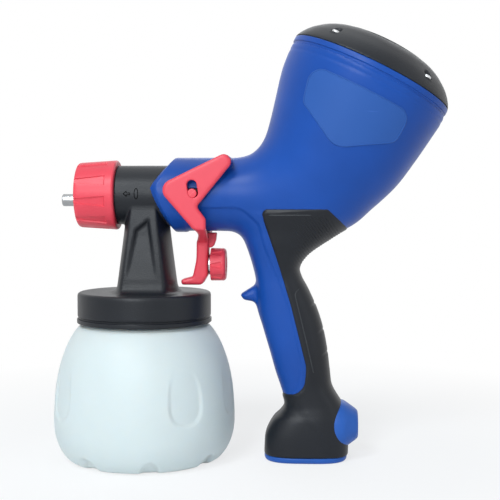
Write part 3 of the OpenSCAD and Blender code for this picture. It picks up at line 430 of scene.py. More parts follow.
# the cowl's front is an arrow: its tip, its slopes above and below it, and its bluntness
tip_x, tip_up, cowl_r, slope_up, slope_down, blunt = 5.5, 4.5, 22, 0.71, 0.47, 1.5
screw_spots = [(72, 192), (151, 179), (89, 214), (98, 157), (84, 102), (105, 66), (93, 15),
               (117, 15)]
well_r, well_floor = 3.2, 7.6


def body_shell(x, y, z):
    body, side, grip = body_form(x, y, z)
    u, w = mouth_frame(x, z)
    out = np.sqrt(u * u + y * y)
    # faint line below the mouth's rim, and the rim itself cut back for its own turned part
    body = body + 0.4 * np.exp(-((w - rim_w + 9.2) / 0.75) ** 2) * (out > 45)
    body = keep(body, np.where(out > 30, w - rim_w + 4.9, -9), 0.5)
    # shallow panel from behind the trigger down the front of the handle
    panel = outline(neck_panel, x, z)
    body = body + panel_sink * ramp(0.5 - panel / edge_wide)
    # seat for the rubber skins
    body = body + skin_sink * ramp(-0.4 - outline(grip_outline, x, z) / edge_wide) * (side > -30)
    # the parting line of the two shells
    body = body + seam * np.exp(-(y / seam_wide) ** 2)
    # boss that carries the trigger's pivot
    body = join(body, keep(np.hypot(x - pivot_x, z - pivot_z) - boss_r, np.abs(y) - boss_out, 0.5),
                0.5)
    # arrow-shaped front with its chamfer
    rise = z - axis_z
    far = np.sqrt(y * y + rise * rise)
    dz = cowl_r * rise / np.maximum(far, 1) - tip_up
    edge = tip_x + np.sqrt((np.where(dz > 0, slope_up, slope_down) * dz) ** 2 + blunt ** 2)
    body = keep(body, (edge + 0.95 * np.clip(far - 20.6, 0, 9) - x) * 0.73, 0.35)
    body = keep(body, -np.maximum(far - cowl_bore, x - cowl_deep), 0.4)
    # the hollow inside, open at the mouth
    inner = join(side + shell_wall, np.maximum(grip + handle_wall, z - hollow_top), 3)
    body = keep(body, -np.maximum(inner, cowl_deep + 2 - x), 0.4)
    body = np.maximum(body, -np.maximum(out - mouth_bore, -5.6 - w))
    # slots that the cross pin runs in, and the pivot pin's bore
    body = np.maximum(body, slot_r - np.hypot(x - np.clip(x, slot_from, slot_to), z - pin_z))
    return np.maximum(body, slot_r - np.hypot(x - pivot_x, z - pivot_z))


def screw_wells(x, y, z):
    wells = [np.hypot(x - a, z - b) - well_r for a, b in screw_spots]
    return np.maximum(np.minimum.reduce(np.broadcast_arrays(*wells)), well_floor - y)


def new_finish(name):
    finish = bpy.data.materials.new(name)
    finish.use_nodes = True
    tree = finish.node_tree
    place = add(tree, "ShaderNodeTexCoord")
    return finish, tree, tree.nodes["Principled BSDF"], place.outputs["Object"]


def coat(piece, finish):
    piece.data.materials.append(finish)


def noise(tree, where, scale, detail):
    made = add(tree, "ShaderNodeTexNoise", {"Vector": where, "Scale": scale, "Detail": detail})
    return made.outputs["Fac"]


def surface(tree, shader, gloss_from, rough_low, rough_high, bump_from, bump, depth):
    """Let one noise vary the roughness and another raise the skin."""
    gloss = add(tree, "ShaderNodeMapRange",
                {"Value": gloss_from, "To Min": rough_low, "To Max": rough_high})
    tree.links.new(gloss.outputs["Result"], shader.inputs["Roughness"])
    raised = add(tree, "ShaderNodeBump", {"Height": bump_from, "Strength": bump, "Distance": depth})
    tree.links.new(raised.outputs["Normal"], shader.inputs["Normal"])


def tones(tree, source, colours, stops):
    made = add(tree, "ShaderNodeValToRGB", {"Fac": source})
    for element, colour, stop in zip(made.color_ramp.elements, colours, stops):
        element.position, element.color = stop, (*colour, 1)
    return made.outputs["Color"]


def moulded(name, colour, rough=0.42, grain=900.0, bump=0.08, cloud=0.06, sheen=0.5, rubbed=None):
    """Injection-moulded plastic: a fine spark-eroded grain, faint flow clouds, handling marks in
    the gloss, and paler rubbed edges where the form turns sharply."""
    finish, tree, shader, where = new_finish(name)
    shades = [tuple(min(1, c * tint) for c in colour) for tint in (1 - 2 * cloud, 1 + cloud)]
    clouds = tones(tree, noise(tree, where, 22, 3), shades, (0.3, 0.72))
    worn = add(tree, "ShaderNodeNewGeometry")
    mask = add(tree, "ShaderNodeMapRange", {"Value": worn.outputs["Pointiness"], "From Min": 0.54,
                                            "From Max": 0.66, "To Max": 0.3})
    blend = add(tree, "ShaderNodeMix")
    blend.data_type = "RGBA"
    rubbed = rubbed or tuple(min(1, c * 1.5 + 0.03) for c in colour)
    blend.inputs["B"].default_value = (*rubbed, 1)
    tree.links.new(mask.outputs["Result"], blend.inputs["Factor"])
    tree.links.new(clouds, blend.inputs["A"])
    tree.links.new(blend.outputs["Result"], shader.inputs["Base Color"])
    surface(tree, shader, noise(tree, where, 60, 4), rough - 0.06, rough + 0.07,
            noise(tree, where, grain, 2), bump, 0.0004)
    shader.inputs["Specular IOR Level"].default_value = sheen
    return finish


shell = mould("body_shell", body_shell, ((3, 206), (-57, 57), (3, 285)), 0.85,
              right_cut=screw_wells)
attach(shell, "housing")
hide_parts("housing_left", "housing_right")
blue = moulded("blue_nylon", (0.008, 0.068, 0.345), rough=0.38, bump=0.1, sheen=0.22)
coat(shell, blue)

# ---- Mouth rim ----
# Moulded lip, groove and seat round the horn's mouth, which the cover drops on. It belongs to the
# shells and has their colour.

# a turned piece's axis and the two directions square to it
ways = {"x": ((1, 0, 0), (0, 1, 0), (0, 0, 1)), "y": ((0, 1, 0), (0, 0, 1), (1, 0, 0)),
        "z": ((0, 0, 1), (-1, 0, 0), (0, 1, 0)),
        "mouth": ((tilt_sin, 0, tilt_cos), (-tilt_cos, 0, tilt_sin), (0, 1, 0))}


def turned(name, profile, centre, way="x", around=160, crease=35, bend=None):
    """Turn a closed profile of (distance along, radius) about an axis through centre. bend takes
    distance, radius and angle, and gives a new radius."""
    p = np.array([q[:2] for q in profile], float)
    around = max(24, int(around / coarse))
    angle = np.arange(around) * 2 * pi / around
    along, out = np.repeat(p, around, 0).T
    turn = np.tile(angle, len(p))
    if bend:
        out = bend(along, out, turn)
    axis, first, second = ways[way]
    points = (centre + np.outer(along, axis) + np.outer(out * np.cos(turn), first)
              + np.outer(out * np.sin(turn), second))
    faces = bands(len(p), around, closed=True)
    if area(p) > 0:
        faces = [f[::-1] for f in faces]
    return smooth_mesh(name, points, faces, crease)


mouth_at = on_mouth(0, 0, rim_w)
rim_profile = rounded([(0, mouth_bore), (0, 55.4, 0.7), (-3.5, 55.4, 0.6), (-3.7, 54.5, 0.3),
                       (-5.4, 54.3), (-7, 54), (-7, mouth_bore)])
rim = turned("mouth_rim", rim_profile, mouth_at, way="mouth", around=256)
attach(rim, "housing")
coat(rim, blue)

# ---- Badge place ----
# A flat, lighter field on the left of the horn where a maker would put a badge. It is a printed
# polyester film, left bare, laid in a shallow seat with a raised rim.


def laid(points, lift, skin, span):
    """Lay points of the side view on a form's left skin, at a given height above it."""
    x, z = np.array(points, float).T
    low, high = (np.full(len(x), float(y)) for y in span)
    for _ in range(30):
        mid = (low + high) / 2
        outside = skin(x, mid, z) > lift
        low, high = np.where(outside, mid, low), np.where(outside, high, mid)
    return np.stack([x, (low + high) / 2, z], 1)


def on_horn(points, lift):
    return laid(points, lift, lambda *at: hose_depth(horn, 1, *at)[0], (-60, -20))


def inset(points, by):
    p = np.array(points, float)
    ahead = np.roll(p, -1, 0) - np.roll(p, 1, 0)
    side = np.stack([-ahead[:, 1], ahead[:, 0]], 1) * np.sign(area(p))
    return p + by * unit(side)


def even(points, gap):
    """The same closed outline, walked in even steps of about gap."""
    p = np.vstack([points, points[:1]])
    walk = np.concatenate([[0], np.cumsum(np.linalg.norm(np.diff(p, axis=0), axis=1))])
    at = np.linspace(0, walk[-1], max(8, int(walk[-1] / gap)), endpoint=False)
    return np.stack([np.interp(at, walk, p[:, 0]), np.interp(at, walk, p[:, 1])], 1)


badge_outline = rounded([(110.9, 256.6, 8), (105.4, 233.4, 7), (125.2, 204.4, 13),
                         (163.6, 207.6, 8), (172.8, 225.4, 8)])
edge = even(np.array(badge_outline), 1.0)
# the raised rim as (distance in from the edge, height), then the film's own even field
rim_wide, film_lift = 1.2, 0.3
rings = [on_horn(inset(edge, by), lift) for by, lift in (
    (0, -0.5), (0.05, 0.35), (0.25, 0.6), (0.55, 0.6), (0.8, 0.32), (rim_wide, film_lift))]
middle = np.mean(edge, 0)
for share in (0.93, 0.85, 0.76, 0.66, 0.56, 0.46, 0.36, 0.26, 0.16, 0.08):
    rings.append(on_horn(middle + (inset(edge, rim_wide) - middle) * share, film_lift))
rings.append(on_horn([middle], film_lift))
count = len(edge)
last = (len(rings) - 2) * count
faces = bands(len(rings) - 1, count) + [(last + i, last + (i + 1) % count, last + count)
                                        for i in range(count)]
badge = smooth_mesh("badge_field", np.vstack(rings), faces, 30)
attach(badge, "housing")
coat(badge, moulded("badge_film", (0.026, 0.098, 0.36), rough=0.5, bump=0.03, cloud=0.02,
                    sheen=0.2))

# ---- Grip skins ----
# Black thermoplastic rubber, moulded on to each shell and let into it, with a raised pad for the
# palm and fine ribs under the horn for the web of the hand.
rib_high, rib_pitch = 0.36, 1.75
notches, notch_deep, notch_wide = ((114.2, 104.2), (119.3, 86.6), (121.8, 71.6)), 0.6, 0.8
skin_rise, pad_rise, rubber = 0.1, 0.55, 1.5


def grip_skin(x, y, z):
    body = body_form(x, y, z)[0]
    edge = outline(grip_outline, x, z)
    panel = outline(neck_panel, x, z)
    body = body + panel_sink * ramp(0.5 - panel / edge_wide) * ramp((z - 33) / 10)
    # ribs under the horn, square to its lower edge
    ribs = rib_high * np.cos((x * 0.83 + z * 0.56) * 2 * pi / rib_pitch)
    ribs = ribs * ramp((x - 92) / 18) * ramp((z - 126) / 9) * ramp((-3.4 - edge) / 2)
    # three steps in the back edge, beside the palm
    notch = 0
    for nx, nz in notches:
        fall = z - nz - 0.3 * (x - nx)
        notch = notch + (notch_deep * np.exp(-(fall / notch_wide) ** 2) * ramp((x - nx + 3.4) / 3)
                         * (x > nx - 4))
    rise = skin_rise + pad_rise * ramp(-edge / 1.8) * ramp((z - 40) / 12 + (x - 98) / 8)
    skin = body - rise - ribs + notch + seam * np.exp(-(y / seam_wide) ** 2)
    return keep(skin, edge, 0.3), body


def grip_form(x, y, z):
    skin, body = grip_skin(x, y, z)
    return np.maximum(keep(skin, foot_top - z, 0.4), -(body + rubber))


grips = mould("grip_skins", grip_form, ((76, 141), (-37, 37), (3, 169)), 0.55,
              right_cut=screw_wells, ripple=1)
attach(grips, "housing")
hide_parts("grip_left", "grip_right")
coat(grips, moulded("grip_rubber", (0.0075, 0.0095, 0.014), grain=1300, bump=0.2, cloud=0.1,
                    sheen=0.3, rubbed=(0.05, 0.055, 0.065)))


def tube(name, paths, radius, core, sides=8, closed=True, crease=0):
    """Round bead or wire along each path. core gives the middle of the form that it goes round."""
    points, faces = [], []
    turn = np.arange(sides)[None, :, None] * 2 * pi / sides
    for path in paths:
        p = np.array(path, float)
        n = len(p)
        ahead = np.roll(p, -1, 0) - np.roll(p, 1, 0) if closed else np.gradient(p, axis=0)
        out = unit(p - core(p))
        side = np.cross(unit(ahead), out)
        faces += bands(n, sides, closed, sides * sum(map(len, points)))
        ring = out[:, None] * np.cos(turn) + side[:, None] * np.sin(turn)
        points += [p[:, None] + radius * ring]
        if not closed:
            faces += [tuple(range(sides))[::-1], tuple(range((n - 1) * sides, n * sides))]
    return smooth_mesh(name, np.concatenate(points).reshape(-1, 3), faces, crease)


# raised lines on both cheeks of the rubber: one along its top, one with a hook beside the palm.
# Their paler colour is a painted highlight along them
there_and_back = np.array((0.3, 0.25))
paths = []
for way in ([(84, 162.7), (111.3, 162.7)],
            [(103.9, 114.8), (102, 113), (101, 111.2), (101.7, 108), (107.7, 83.5), (113.2, 59.8)]):
    line = np.array(way, float)
    line = even(np.vstack([line, (line + there_and_back)[::-1]]), 1.2)
    cheek = laid(line, 0.04, lambda *at: grip_skin(*at)[0], (-36, -4))
    paths += [cheek, (cheek * (1, -1, 1))[::-1]]
grip_lines = tube("grip_lines", paths, 0.2, lambda p: p * (1, 0, 1))
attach(grip_lines, "housing")
# the lines are paler than the rubber round them: a painted highlight
coat(grip_lines, moulded("painted_highlight_rubber", (0.03, 0.034, 0.04), rough=0.4, bump=0.05, sheen=0.4))

# ---- Foot plate ----
# Light blue nylon plate under the handle. It closes the handle, is held by two screws from below
# and lets the gun stand.
foot_x, foot_long, foot_wide, foot_high = 108.4, 27.5, 20, 3.9
foot_screw_x, foot_screw_z = (92.4, 116.4), 2.0


def foot_form(x, y, z):
    reach = (np.abs((x - foot_x) / foot_long) ** 3 + np.abs(y / foot_wide) ** 3) ** (1 / 3)
    far = np.sqrt((x - foot_x) ** 2 + y * y)
    rim = far - far / np.maximum(reach, 1e-6)
    plate = keep(keep(rim, -z, 2.6), z - foot_high, 0.9)
    for sx in foot_screw_x:
        plate = np.maximum(plate, -np.maximum(np.hypot(x - sx, y) - well_r, z - foot_screw_z))
    return plate


foot = mould("foot_plate", foot_form, ((80.5, 136.5), (-20.5, 20.5), (0, 4)), 0.45)
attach(foot, "housing")
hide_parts("foot_plate")
light_blue = moulded("light_blue_nylon", (0.022, 0.105, 0.42), rough=0.4, bump=0.06, sheen=0.25)
coat(foot, light_blue)

# ---- Cord inlet ----
# Light blue nylon boss held between the shells at the back of the foot, bored for the mains lead
# and flanged inside so that it can't pull out.
inlet_bore, flat_side, square = 4.5, 1.13, 2.3


def flattened(along, out, turn):
    reach = (np.abs(np.cos(turn) / flat_side) ** square + np.abs(np.sin(turn)) ** square)
    return np.where(out > 7, out / reach ** (1 / square), out)


inlet_profile = rounded([(0, inlet_bore), (0, 16), (7, 16.2, 9), (15.6, 10.2, 1.8), (17, 8.8, 0.6),
                         (17, 5.3, 0.5), (15.4, inlet_bore, 0.3)])
inlet = turned("cord_inlet", inlet_profile, (126, 0, 23), bend=flattened)
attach(inlet, "housing")
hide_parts("cord_inlet")
coat(inlet, light_blue)

# ---- Rear cover ----
# Black nylon dome dropped on the rim and held by four screws in wells. Five rings of slots in its
# top let the turbine draw air, through the filter behind them.
dome = np.array([(0, 23.6), (9, 23.2), (18, 22), (27, 20.4), (35, 18.2), (41, 15.4), (45.6, 12.2),
                 (49.4, 9), (52.2, 5.8), (54.2, 2.8), (55.3, 0.4)])
dome_walk = [smoothed(dome, np.array(t)) for t in np.linspace(0, 10, 41)]
lip_r, spigot_r, spigot_wall, spigot_deep, roof, shrink = 55.3, 51.8, 2, 4, 2.4, 0.957
cover_profile = [tuple(q) for q in dome_walk] + [
    (lip_r, 0.1), (spigot_r, 0.1), (spigot_r, -spigot_deep), (spigot_r - spigot_wall, -spigot_deep),
    (spigot_r - spigot_wall, 3)] + [(q[0] * shrink, q[1] - roof) for q in dome_walk[32::-2]]
first_ring, ring_pitch, slot_half, web_half, slots_in, slots_out = 11.1, 5.35, 1.2, 1.2, 9, 34.2
cover_screw_r, cover_screw_w, boss_round, screw_room = 48.6, 7.5, 4, 2.95
cover_turn = [radians(a) for a in (50, 130, 230, 310)]


def cover_form(x, y, z):
    u, w = mouth_frame(x, z)
    w = w - rim_w
    r = np.sqrt(u * u + y * y)
    turn = np.arctan2(y, u)
    form = outline(cover_profile, r, w)
    # slots: in each ring six arcs with webs between them
    ring = np.abs(off_nearest(r - first_ring, ring_pitch)) - slot_half
    slots = np.maximum(np.maximum(ring, web_half - np.abs(r * np.sin(turn * 3) / 3)),
                       np.maximum(np.maximum(slots_in - r, r - slots_out), 10 - w))
    form = keep(form, -slots, 0.4)
    # a boss and a well for each screw
    for a in cover_turn:
        far = np.hypot(u - cover_screw_r * cos(a), y - cover_screw_r * sin(a))
        form = np.minimum(form, np.maximum(np.maximum(far - boss_round, w - cover_screw_w + 0.05),
                                           np.maximum(-spigot_deep - w, r - spigot_r + 0.2)))
        form = keep(form, -np.maximum(far - screw_room, cover_screw_w - w), 0.25)
    return form


cover = mould("rear_cover_dome", cover_form, ((98, 214), (-56.5, 56.5), (226, 291)), 0.62, ripple=1)
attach(cover, "housing")
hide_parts("rear_cover")
black = moulded("black_nylon", (0.0085, 0.0105, 0.0145), grain=1100, bump=0.3, cloud=0.08,
                sheen=0.3, rubbed=(0.05, 0.054, 0.06))
coat(cover, black)

# ---- Screws ----
# Zinc-plated pan-head screws with a cross recess: eight in the shells' wells, four in the cover
# and two under the foot. In each set one mesh of a head serves all its screws.
shank_r, shank_long, head_high, body_head_y = 1.5, 14, 2, 6.1
cross_wide, cross_long, cross_floor = 0.42, 1.75, 0.5


def screw(name, heads, radius, way_in):
    """heads are (x, y, z) under the head, and way_in is the direction of the shank."""
    def form(x, y, z):
        far = np.hypot(x, y)
        ball = np.sqrt(x * x + y * y + (z + 3.4) ** 2) - 5.4
        pan = keep(np.maximum(far - radius, -z), ball, 0.4)
        ax, ay = np.abs(x), np.abs(y)
        narrow = (head_high - z) * 0.5 - cross_long
        cross = np.minimum(np.maximum(ax - cross_wide, ay + narrow),
                           np.maximum(ay - cross_wide, ax + narrow))
        pan = keep(pan, -np.maximum(cross, cross_floor - z), 0.12)
        return join(pan, np.maximum(far - shank_r, np.maximum(z - 0.5, -shank_long - z)), 0.1)
    box = ((-radius, radius), (-radius, radius), (-shank_long, head_high + 0.2))
    one = mould(name + "_pattern", form, box, 0.2, sides=2, ripple=1, crease=30)
    base = np.array([v.co for v in one.data.vertices]) * 1000
    turn = np.array([p.vertices for p in one.data.polygons])
    bpy.data.objects.remove(one)
    down = np.array(way_in, float)
    side = unit(np.cross(down, (0.1, 0.9, 0.3)))
    front = np.cross(side, -down)
    points, faces = [], []
    for k, h in enumerate(heads):
        spin = k * 0.9 + 0.3
        a = side * cos(spin) + front * sin(spin)
        b = np.cross(-down, a)
        points.append(h + base[:, :1] * a + base[:, 1:2] * b - base[:, 2:] * down)
        faces.append(turn + k * len(base))
    return smooth_mesh(name, np.vstack(points), np.vstack(faces), 30)


def metal(name, low, high, rough, scale, bump, detail=5, stops=(0.3, 0.7), depth=0.0004,
          stretch=None):
    """Bare metal: one noise for its tone, its gloss (rough is a pair) and its grain. stretch draws
    the noise out into turning marks."""
    finish, tree, shader, where = new_finish(name)
    if stretch:
        drawn = add(tree, "ShaderNodeMapping", {"Vector": where, "Scale": stretch})
        where = drawn.outputs["Vector"]
    grain = noise(tree, where, scale, detail)
    tree.links.new(tones(tree, grain, (low, high), stops), shader.inputs["Base Color"])
    surface(tree, shader, grain, *rough, grain, bump, depth)
    shader.inputs["Metallic"].default_value = 1
    return finish


zinc = metal("zinc_plate", (0.42, 0.43, 0.44), (0.74, 0.75, 0.76), (0.22, 0.42), 420, 0.08,
             detail=4, stops=(0, 1), depth=0.0003)
body_heads = [(a, body_head_y, b) for a, b in screw_spots]
cover_heads = [on_mouth(cover_screw_r, a, rim_w + cover_screw_w) for a in cover_turn]
foot_heads = [(a, 0, foot_screw_z) for a in foot_screw_x]
for name, node, heads, radius, way_in in (
        ("body_screws", "housing_screws", body_heads, 3.0, (0, -1, 0)),
        ("cover_screws", "cover_screws", cover_heads, 2.75, (-tilt_sin, 0, -tilt_cos)),
        ("foot_screws", "foot_screws", foot_heads, 3.0, (0, 0, 1))):
    piece = screw(name, heads, radius, way_in)
    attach(piece, "housing")
    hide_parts(node)
    coat(piece, zinc)

# ---- Spray head ----
# Barrel, stem and cup lid are one moulding in black glass-filled nylon. The barrel plugs into the
# cowl, and an oval and an arrow on it show how it twists in.
barrel_r, barrel_front, barrel_back, barrel_bore = 19.6, -17.2, 30, 16.6
lid_r, lid_top, lid_low, neck_r, neck_top = 44.6, 111.4, 95.4, 41.1, 106.5

# the stem's stations: height, half length with its round end, length of its flat, half depth, power
stem_x, stem_top = 2.2, 168.6
stem_table = np.array([
    (100, 20.2, 12.9, 24.5, 1.9), (117.1, 19.4, 12.8, 23.2, 1.9), (140, 16.8, 10.6, 21, 1.6),
    (154, 15.4, 9.2, 19.6, 1.3), (167.7, 14.3, 8, 18.2, 1.25), (172, 13, 8, 17.4, 1.25),
    (176, 13, 8, 16.6, 1.25)])
arrow_panel, panel_deep = [(6.3, 161.6), (-3.7, 153.4), (-10.2, 118), (12.6, 118)], 2.3


def head_form(x, y, z):
    rise = z - axis_z
    far = np.sqrt(y * y + rise * rise)
    barrel = keep(far - barrel_r, np.maximum(barrel_front - x, x - barrel_back), 0.5)
    a, c, b, p = (np.interp(z, stem_table[:, 0], stem_table[:, k]) for k in (1, 2, 3, 4))
    lean = np.maximum(np.abs(x - stem_x) - c, 0) / (a - c)
    ratio = (lean ** p + np.abs(y / b) ** p) ** (1 / p)
    reach = np.sqrt(y * y + (lean * (a - c)) ** 2)
    stem = reach - reach / np.maximum(ratio, 1e-6)
    # arrow-headed recess in each cheek of the stem, fading out downwards
    inside = -outline(arrow_panel, x, z)
    stem = stem + panel_deep * ramp(inside / 2.4) * np.clip((z - 121) / 28, 0, 1) * (np.abs(y) > 8)
    shoulder = np.where(np.abs(x - stem_x) > 10, 8, 0)
    stem = keep(keep(stem, z - stem_top - shoulder, 1.2), 100 - z, 0.5)
    out = np.sqrt(x * x + y * y)
    lid = keep(keep(out - lid_r, z - lid_top, 2.6), lid_low - z, 0.4)
    head = join(join(barrel, stem, 1.2), lid, 7)
    # seat of the cup's neck, and the barrel's bore at its back
    head = keep(head, -np.maximum(out - neck_r, z - neck_top), 0.3)
    return np.maximum(head, -np.maximum(far - barrel_bore, 13 - x))


head = mould("spray_head", head_form, ((-45.5, 45.5), (-45.5, 45.5), (94, 197)), 0.75)
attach(head, "head")
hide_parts("spray_head")
coat(head, black)

lid_profile = rounded([(96.5, neck_r), (96.5, 44), (95.3, 44.1, 0.2), (95, 43.6, 0.2),
                       (94.2, 43.6, 0.2), (93.9, 45, 0.5), (91, 45, 0.7), (91, neck_r, 0.3)])
lid_rim = turned("lid_rim", lid_profile, (0, 0, 0), way="z", around=256)
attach(lid_rim, "head")
coat(lid_rim, black)


def on_barrel(points):
    r = barrel_r + 0.02
    return [(x, -sqrt(r * r - (z - axis_z) ** 2), z) for x, z in points]


oval = [(-2.3 + 1.2 * cos(t), 176.7 + 3.4 * sin(t))
        for t in np.linspace(0, 2 * pi, 48, endpoint=False)]
arrow = even(np.array([(-10.6, 176.6), (-8.6, 178.4), (-8.6, 177.2), (-6.3, 177.2), (-6.3, 176),
                       (-8.6, 176), (-8.6, 174.8)]), 0.3)
# the oval and the arrow are engraved grooves; they are drawn as thin near-black beads, a painted
# shade standing for the shadow in the grooves
marks = tube("twist_marks", [on_barrel(oval), on_barrel(arrow)], 0.24,
             lambda p: p * (1, 0, 0) + (0, 0, axis_z))
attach(marks, "head")
coat(marks, moulded("painted_groove_shade", (0.0012, 0.0014, 0.002), rough=0.75, bump=0.05, sheen=0.05,
                    rubbed=(0.002, 0.002, 0.003)))

# ---- Air cap ----
# Red acetal cap that screws on the barrel and shapes the air round the nozzle. Ten wedge-shaped
# flutes give the fingers a hold.
cap_front, cap_back, cap_long = 21.5, 23.2, 26.5
flute_pitch, flute_start, flute_deep, flute_end = pi / 5, radians(-11), 1.05, 20.7


def flutes(along, out, turn):
    outer = cap_front + (cap_back - cap_front) * along / cap_long
    skin = np.abs(out - outer) < 2.6
    wave = off_nearest(turn + flute_start, flute_pitch)
    wide = 1.5 + 1.9 * np.clip(along / 20.5, 0, 1)
    across = np.abs(outer * np.sin(wave))
    floor = (outer - flute_deep) / np.cos(wave)
    cut = ramp((wide - across) / 0.3 + 0.5) * ramp((flute_end - along) / 0.5)
    return np.where(skin & (floor < out), out + (floor - out) * cut, out)


skin_rows = [(x, cap_front + (cap_back - cap_front) * x / cap_long)
             for x in np.arange(2.6, 24.2, 0.35)]
cap_profile = rounded([(0, 12, 0.3), (0, 21.35, 1.7)] + skin_rows + [
    (cap_long, 23.25, 1.5), (cap_long, 17.7, 0.2), (5, 17.7), (5, 16.9), (1.65, 16.9),
    (1.65, 12, 0.3)])
air_cap = turned("air_cap", cap_profile, (-43.5, 0, axis_z), around=720, crease=32, bend=flutes)
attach(air_cap, "air_cap")
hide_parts("air_cap")
red = moulded("red_acetal", (0.76, 0.055, 0.085), rough=0.38, grain=1000, bump=0.07, cloud=0.04,
              sheen=0.4, rubbed=(0.95, 0.2, 0.22))
coat(air_cap, red)

# ---- Nozzle tip ----
# Turned and polished stainless steel tube that reaches out through the air cap. The needle seats
# in its front.
tip_bore, tip_r, root_r, tube_bore = 1.35, 4.1, 3, 2.2
tip_profile = rounded([(0, tip_bore), (0, tip_r, 0.9), (16.9, tip_r), (16.9, root_r), (25, root_r),
                       (25, tube_bore), (4, tube_bore), (2, tip_bore)])
tip = turned("nozzle_tip", tip_profile, (-55, 0, 172.6), around=96)
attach(tip, "head")
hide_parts("nozzle_tip")
coat(tip, metal("polished_steel", (0.3, 0.31, 0.32), (0.42, 0.43, 0.44), (0.2, 0.32), 1, 0.004,
                detail=2, stops=(0, 1), depth=0.0001, stretch=(7000, 40, 40)))

# ---- Cup ----
# Blow-moulded polyethylene cup in natural, milky white. Six thumb dimples, with a plain field front
# and back, let it be twisted off, and eight scallops round the foot stiffen it.
belly = np.array([(44, 0), (50.5, 1.2), (54.5, 5), (57.8, 11), (60, 19), (60.5, 28), (60.1, 38),
                  (59, 50), (56.6, 62), (53, 73), (49.2, 81), (45, 87.2), (42, 89.6), (40.6, 90.6)])
belly_walk = [smoothed(belly, np.array(t)) for t in np.linspace(0, 13, 157)]
dimple_turn = [radians(45 * k - 55.5) for k in (0, 1, 2, 4, 5, 6)]
dimple_z, dimple_half, dimple_deep, dimple_down, dimple_up, square_off = 44, 12.6, 1.2, 14, 26, 2.4
foot_turn = [radians(45 * k - 78) for k in range(8)]
scallop_half, scallop_high, scallop_deep = 8.2, 11.5, 3


def around_from(turn, at, radius):
    """Distance round the cup from a direction."""
    return np.abs(off_nearest(turn - pi + at, 2 * pi)) * radius


def dented(along, out, turn):
    for at in dimple_turn:
        # tall, flat-bottomed dimple: a firm lower edge, and a soft run-out at the top
        off = around_from(turn, at, 60) / dimple_half
        tall = np.where(along < dimple_z, (dimple_z - along) / dimple_down,
                        (along - dimple_z) / dimple_up)
        reach = (off ** square_off + tall ** square_off) ** (1 / square_off)
        out = out - dimple_deep * ramp((1 - reach) / 0.2) * ramp((70 - along) / 26)
    for at in foot_turn:
        off = around_from(turn, at, 58) / scallop_half
        reach = np.sqrt(off ** 2 + (np.maximum(along + 1, 0) / scallop_high) ** 2)
        out = out - scallop_deep * ramp((1 - reach) / 0.4) * ramp((out - 42) / 8)
    return out


cup_wall, mouth_r, mouth_top = 1.8, 40.6, 103.9
wall = [(z, r) for r, z in belly_walk]
inner = [(max(z, cup_wall), r - cup_wall) for r, z in belly_walk[::-4] if z > 1.2]
cup_profile = wall + [(103.6, mouth_r), (mouth_top, 40.3), (mouth_top, 38.2)] + inner + [
    (cup_wall, 30), (cup_wall, 6), (cup_wall, 0.02), (0, 0.02), (0, 10), (0, 28), (0.9, 31),
    (0.9, 36), (0, 39)]
cup = turned("cup", cup_profile, (0, 0, 0), way="z", around=420, crease=50, bend=dented)
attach(cup, "cup")
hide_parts("cup")
milk = moulded("milky_polyethylene", (0.67, 0.755, 0.765), rough=0.5, grain=700, bump=0.06,
               cloud=0.015, sheen=0.4, rubbed=(0.8, 0.86, 0.88))
milk_shader = milk.node_tree.nodes["Principled BSDF"]
milk_shader.inputs["Subsurface Weight"].default_value = 0.5
milk_shader.inputs["Subsurface Radius"].default_value = (0.004, 0.005, 0.006)
milk_shader.inputs["Subsurface Scale"].default_value = 1
coat(cup, milk)

# ---- Trigger ----
# Red acetal yoke: two cheeks that straddle the cowl, hung on a pin through the shells, and one
# finger lever with a hook. A slot in each cheek drives the cross pin.
trigger_side = rounded([(73.2, 210.9, 4.8), (11.9, 181.2, 7), (38.4, 150.6, 3), (35.7, 145, 6),
                        (35.5, 133, 30), (33, 121.6, 2.5), (25, 119.6, 1.5), (25.8, 116.2, 1.5),
                        (39.4, 116.2, 4), (43.2, 123, 5), (43.6, 145, 2), (44.2, 152, 2),
                        (44.2, 160.4, 2.5), (38.4, 168.2, 2.5)])
trigger_front = rounded([(26.4, 212), (29.8, 212), (29.8, 153.4, 2), (6.8, 144.5, 3), (6.8, 106),
                         (0, 106), (0, 148.2), (4, 148.2, 2), (26.4, 155.6, 2)])
lever_rib = [(42, 151), (49, 151), (48.4, 146), (47.2, 142.6), (45.6, 141), (42, 141)]
cheek_slot_x, cheek_slot_z, cheek_slot_half, cheek_slot_r = 35.6, 179.6, 2.6, 3.15
slot_lean = radians(10)
knob_z, stem_bore, spring_bore = 129.7, 2.6, 4.8


def trigger_form(x, y, z):
    yoke = keep(outline(trigger_side, x, z), outline(trigger_front, np.abs(y), z), 2.4)
    yoke = join(yoke, keep(outline(lever_rib, x, z), np.abs(y) - 3, 0.8), 1)
    # the slot, and the pivot's blind seat
    sx, sz = x - cheek_slot_x, z - cheek_slot_z
    u = sx * cos(slot_lean) + sz * sin(slot_lean)
    w = -sx * sin(slot_lean) + sz * cos(slot_lean)
    slot = np.hypot(u, w - np.clip(w, -cheek_slot_half, cheek_slot_half)) - cheek_slot_r
    yoke = keep(yoke, -slot, 0.5)
    yoke = np.maximum(yoke, -np.maximum(np.hypot(x - pivot_x, z - pivot_z) - 2.1, np.abs(y) - 29.1))
    # the knob's thread, and the seat of its spring
    bore = np.hypot(y, z - knob_z)
    yoke = np.maximum(yoke, -np.maximum(bore - stem_bore, 37.6 - x))
    return keep(yoke, -np.maximum(bore - spring_bore, 39.4 - x), 0.3)


trigger = mould("trigger", trigger_form, ((11, 72), (-30, 30), (116, 211)), 0.5, crease=50)
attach(trigger, "trigger")
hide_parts("trigger")
coat(trigger, red)

# ---- Flow knob ----
# Red acetal knob on a coarse screw. It stops the trigger's travel, and so sets how far the needle
# opens.
knob_r, knob_long, knob_floor = 10.9, 10.2, 10.1
knob_pitch, knob_flute_end = pi / 4, 7.6


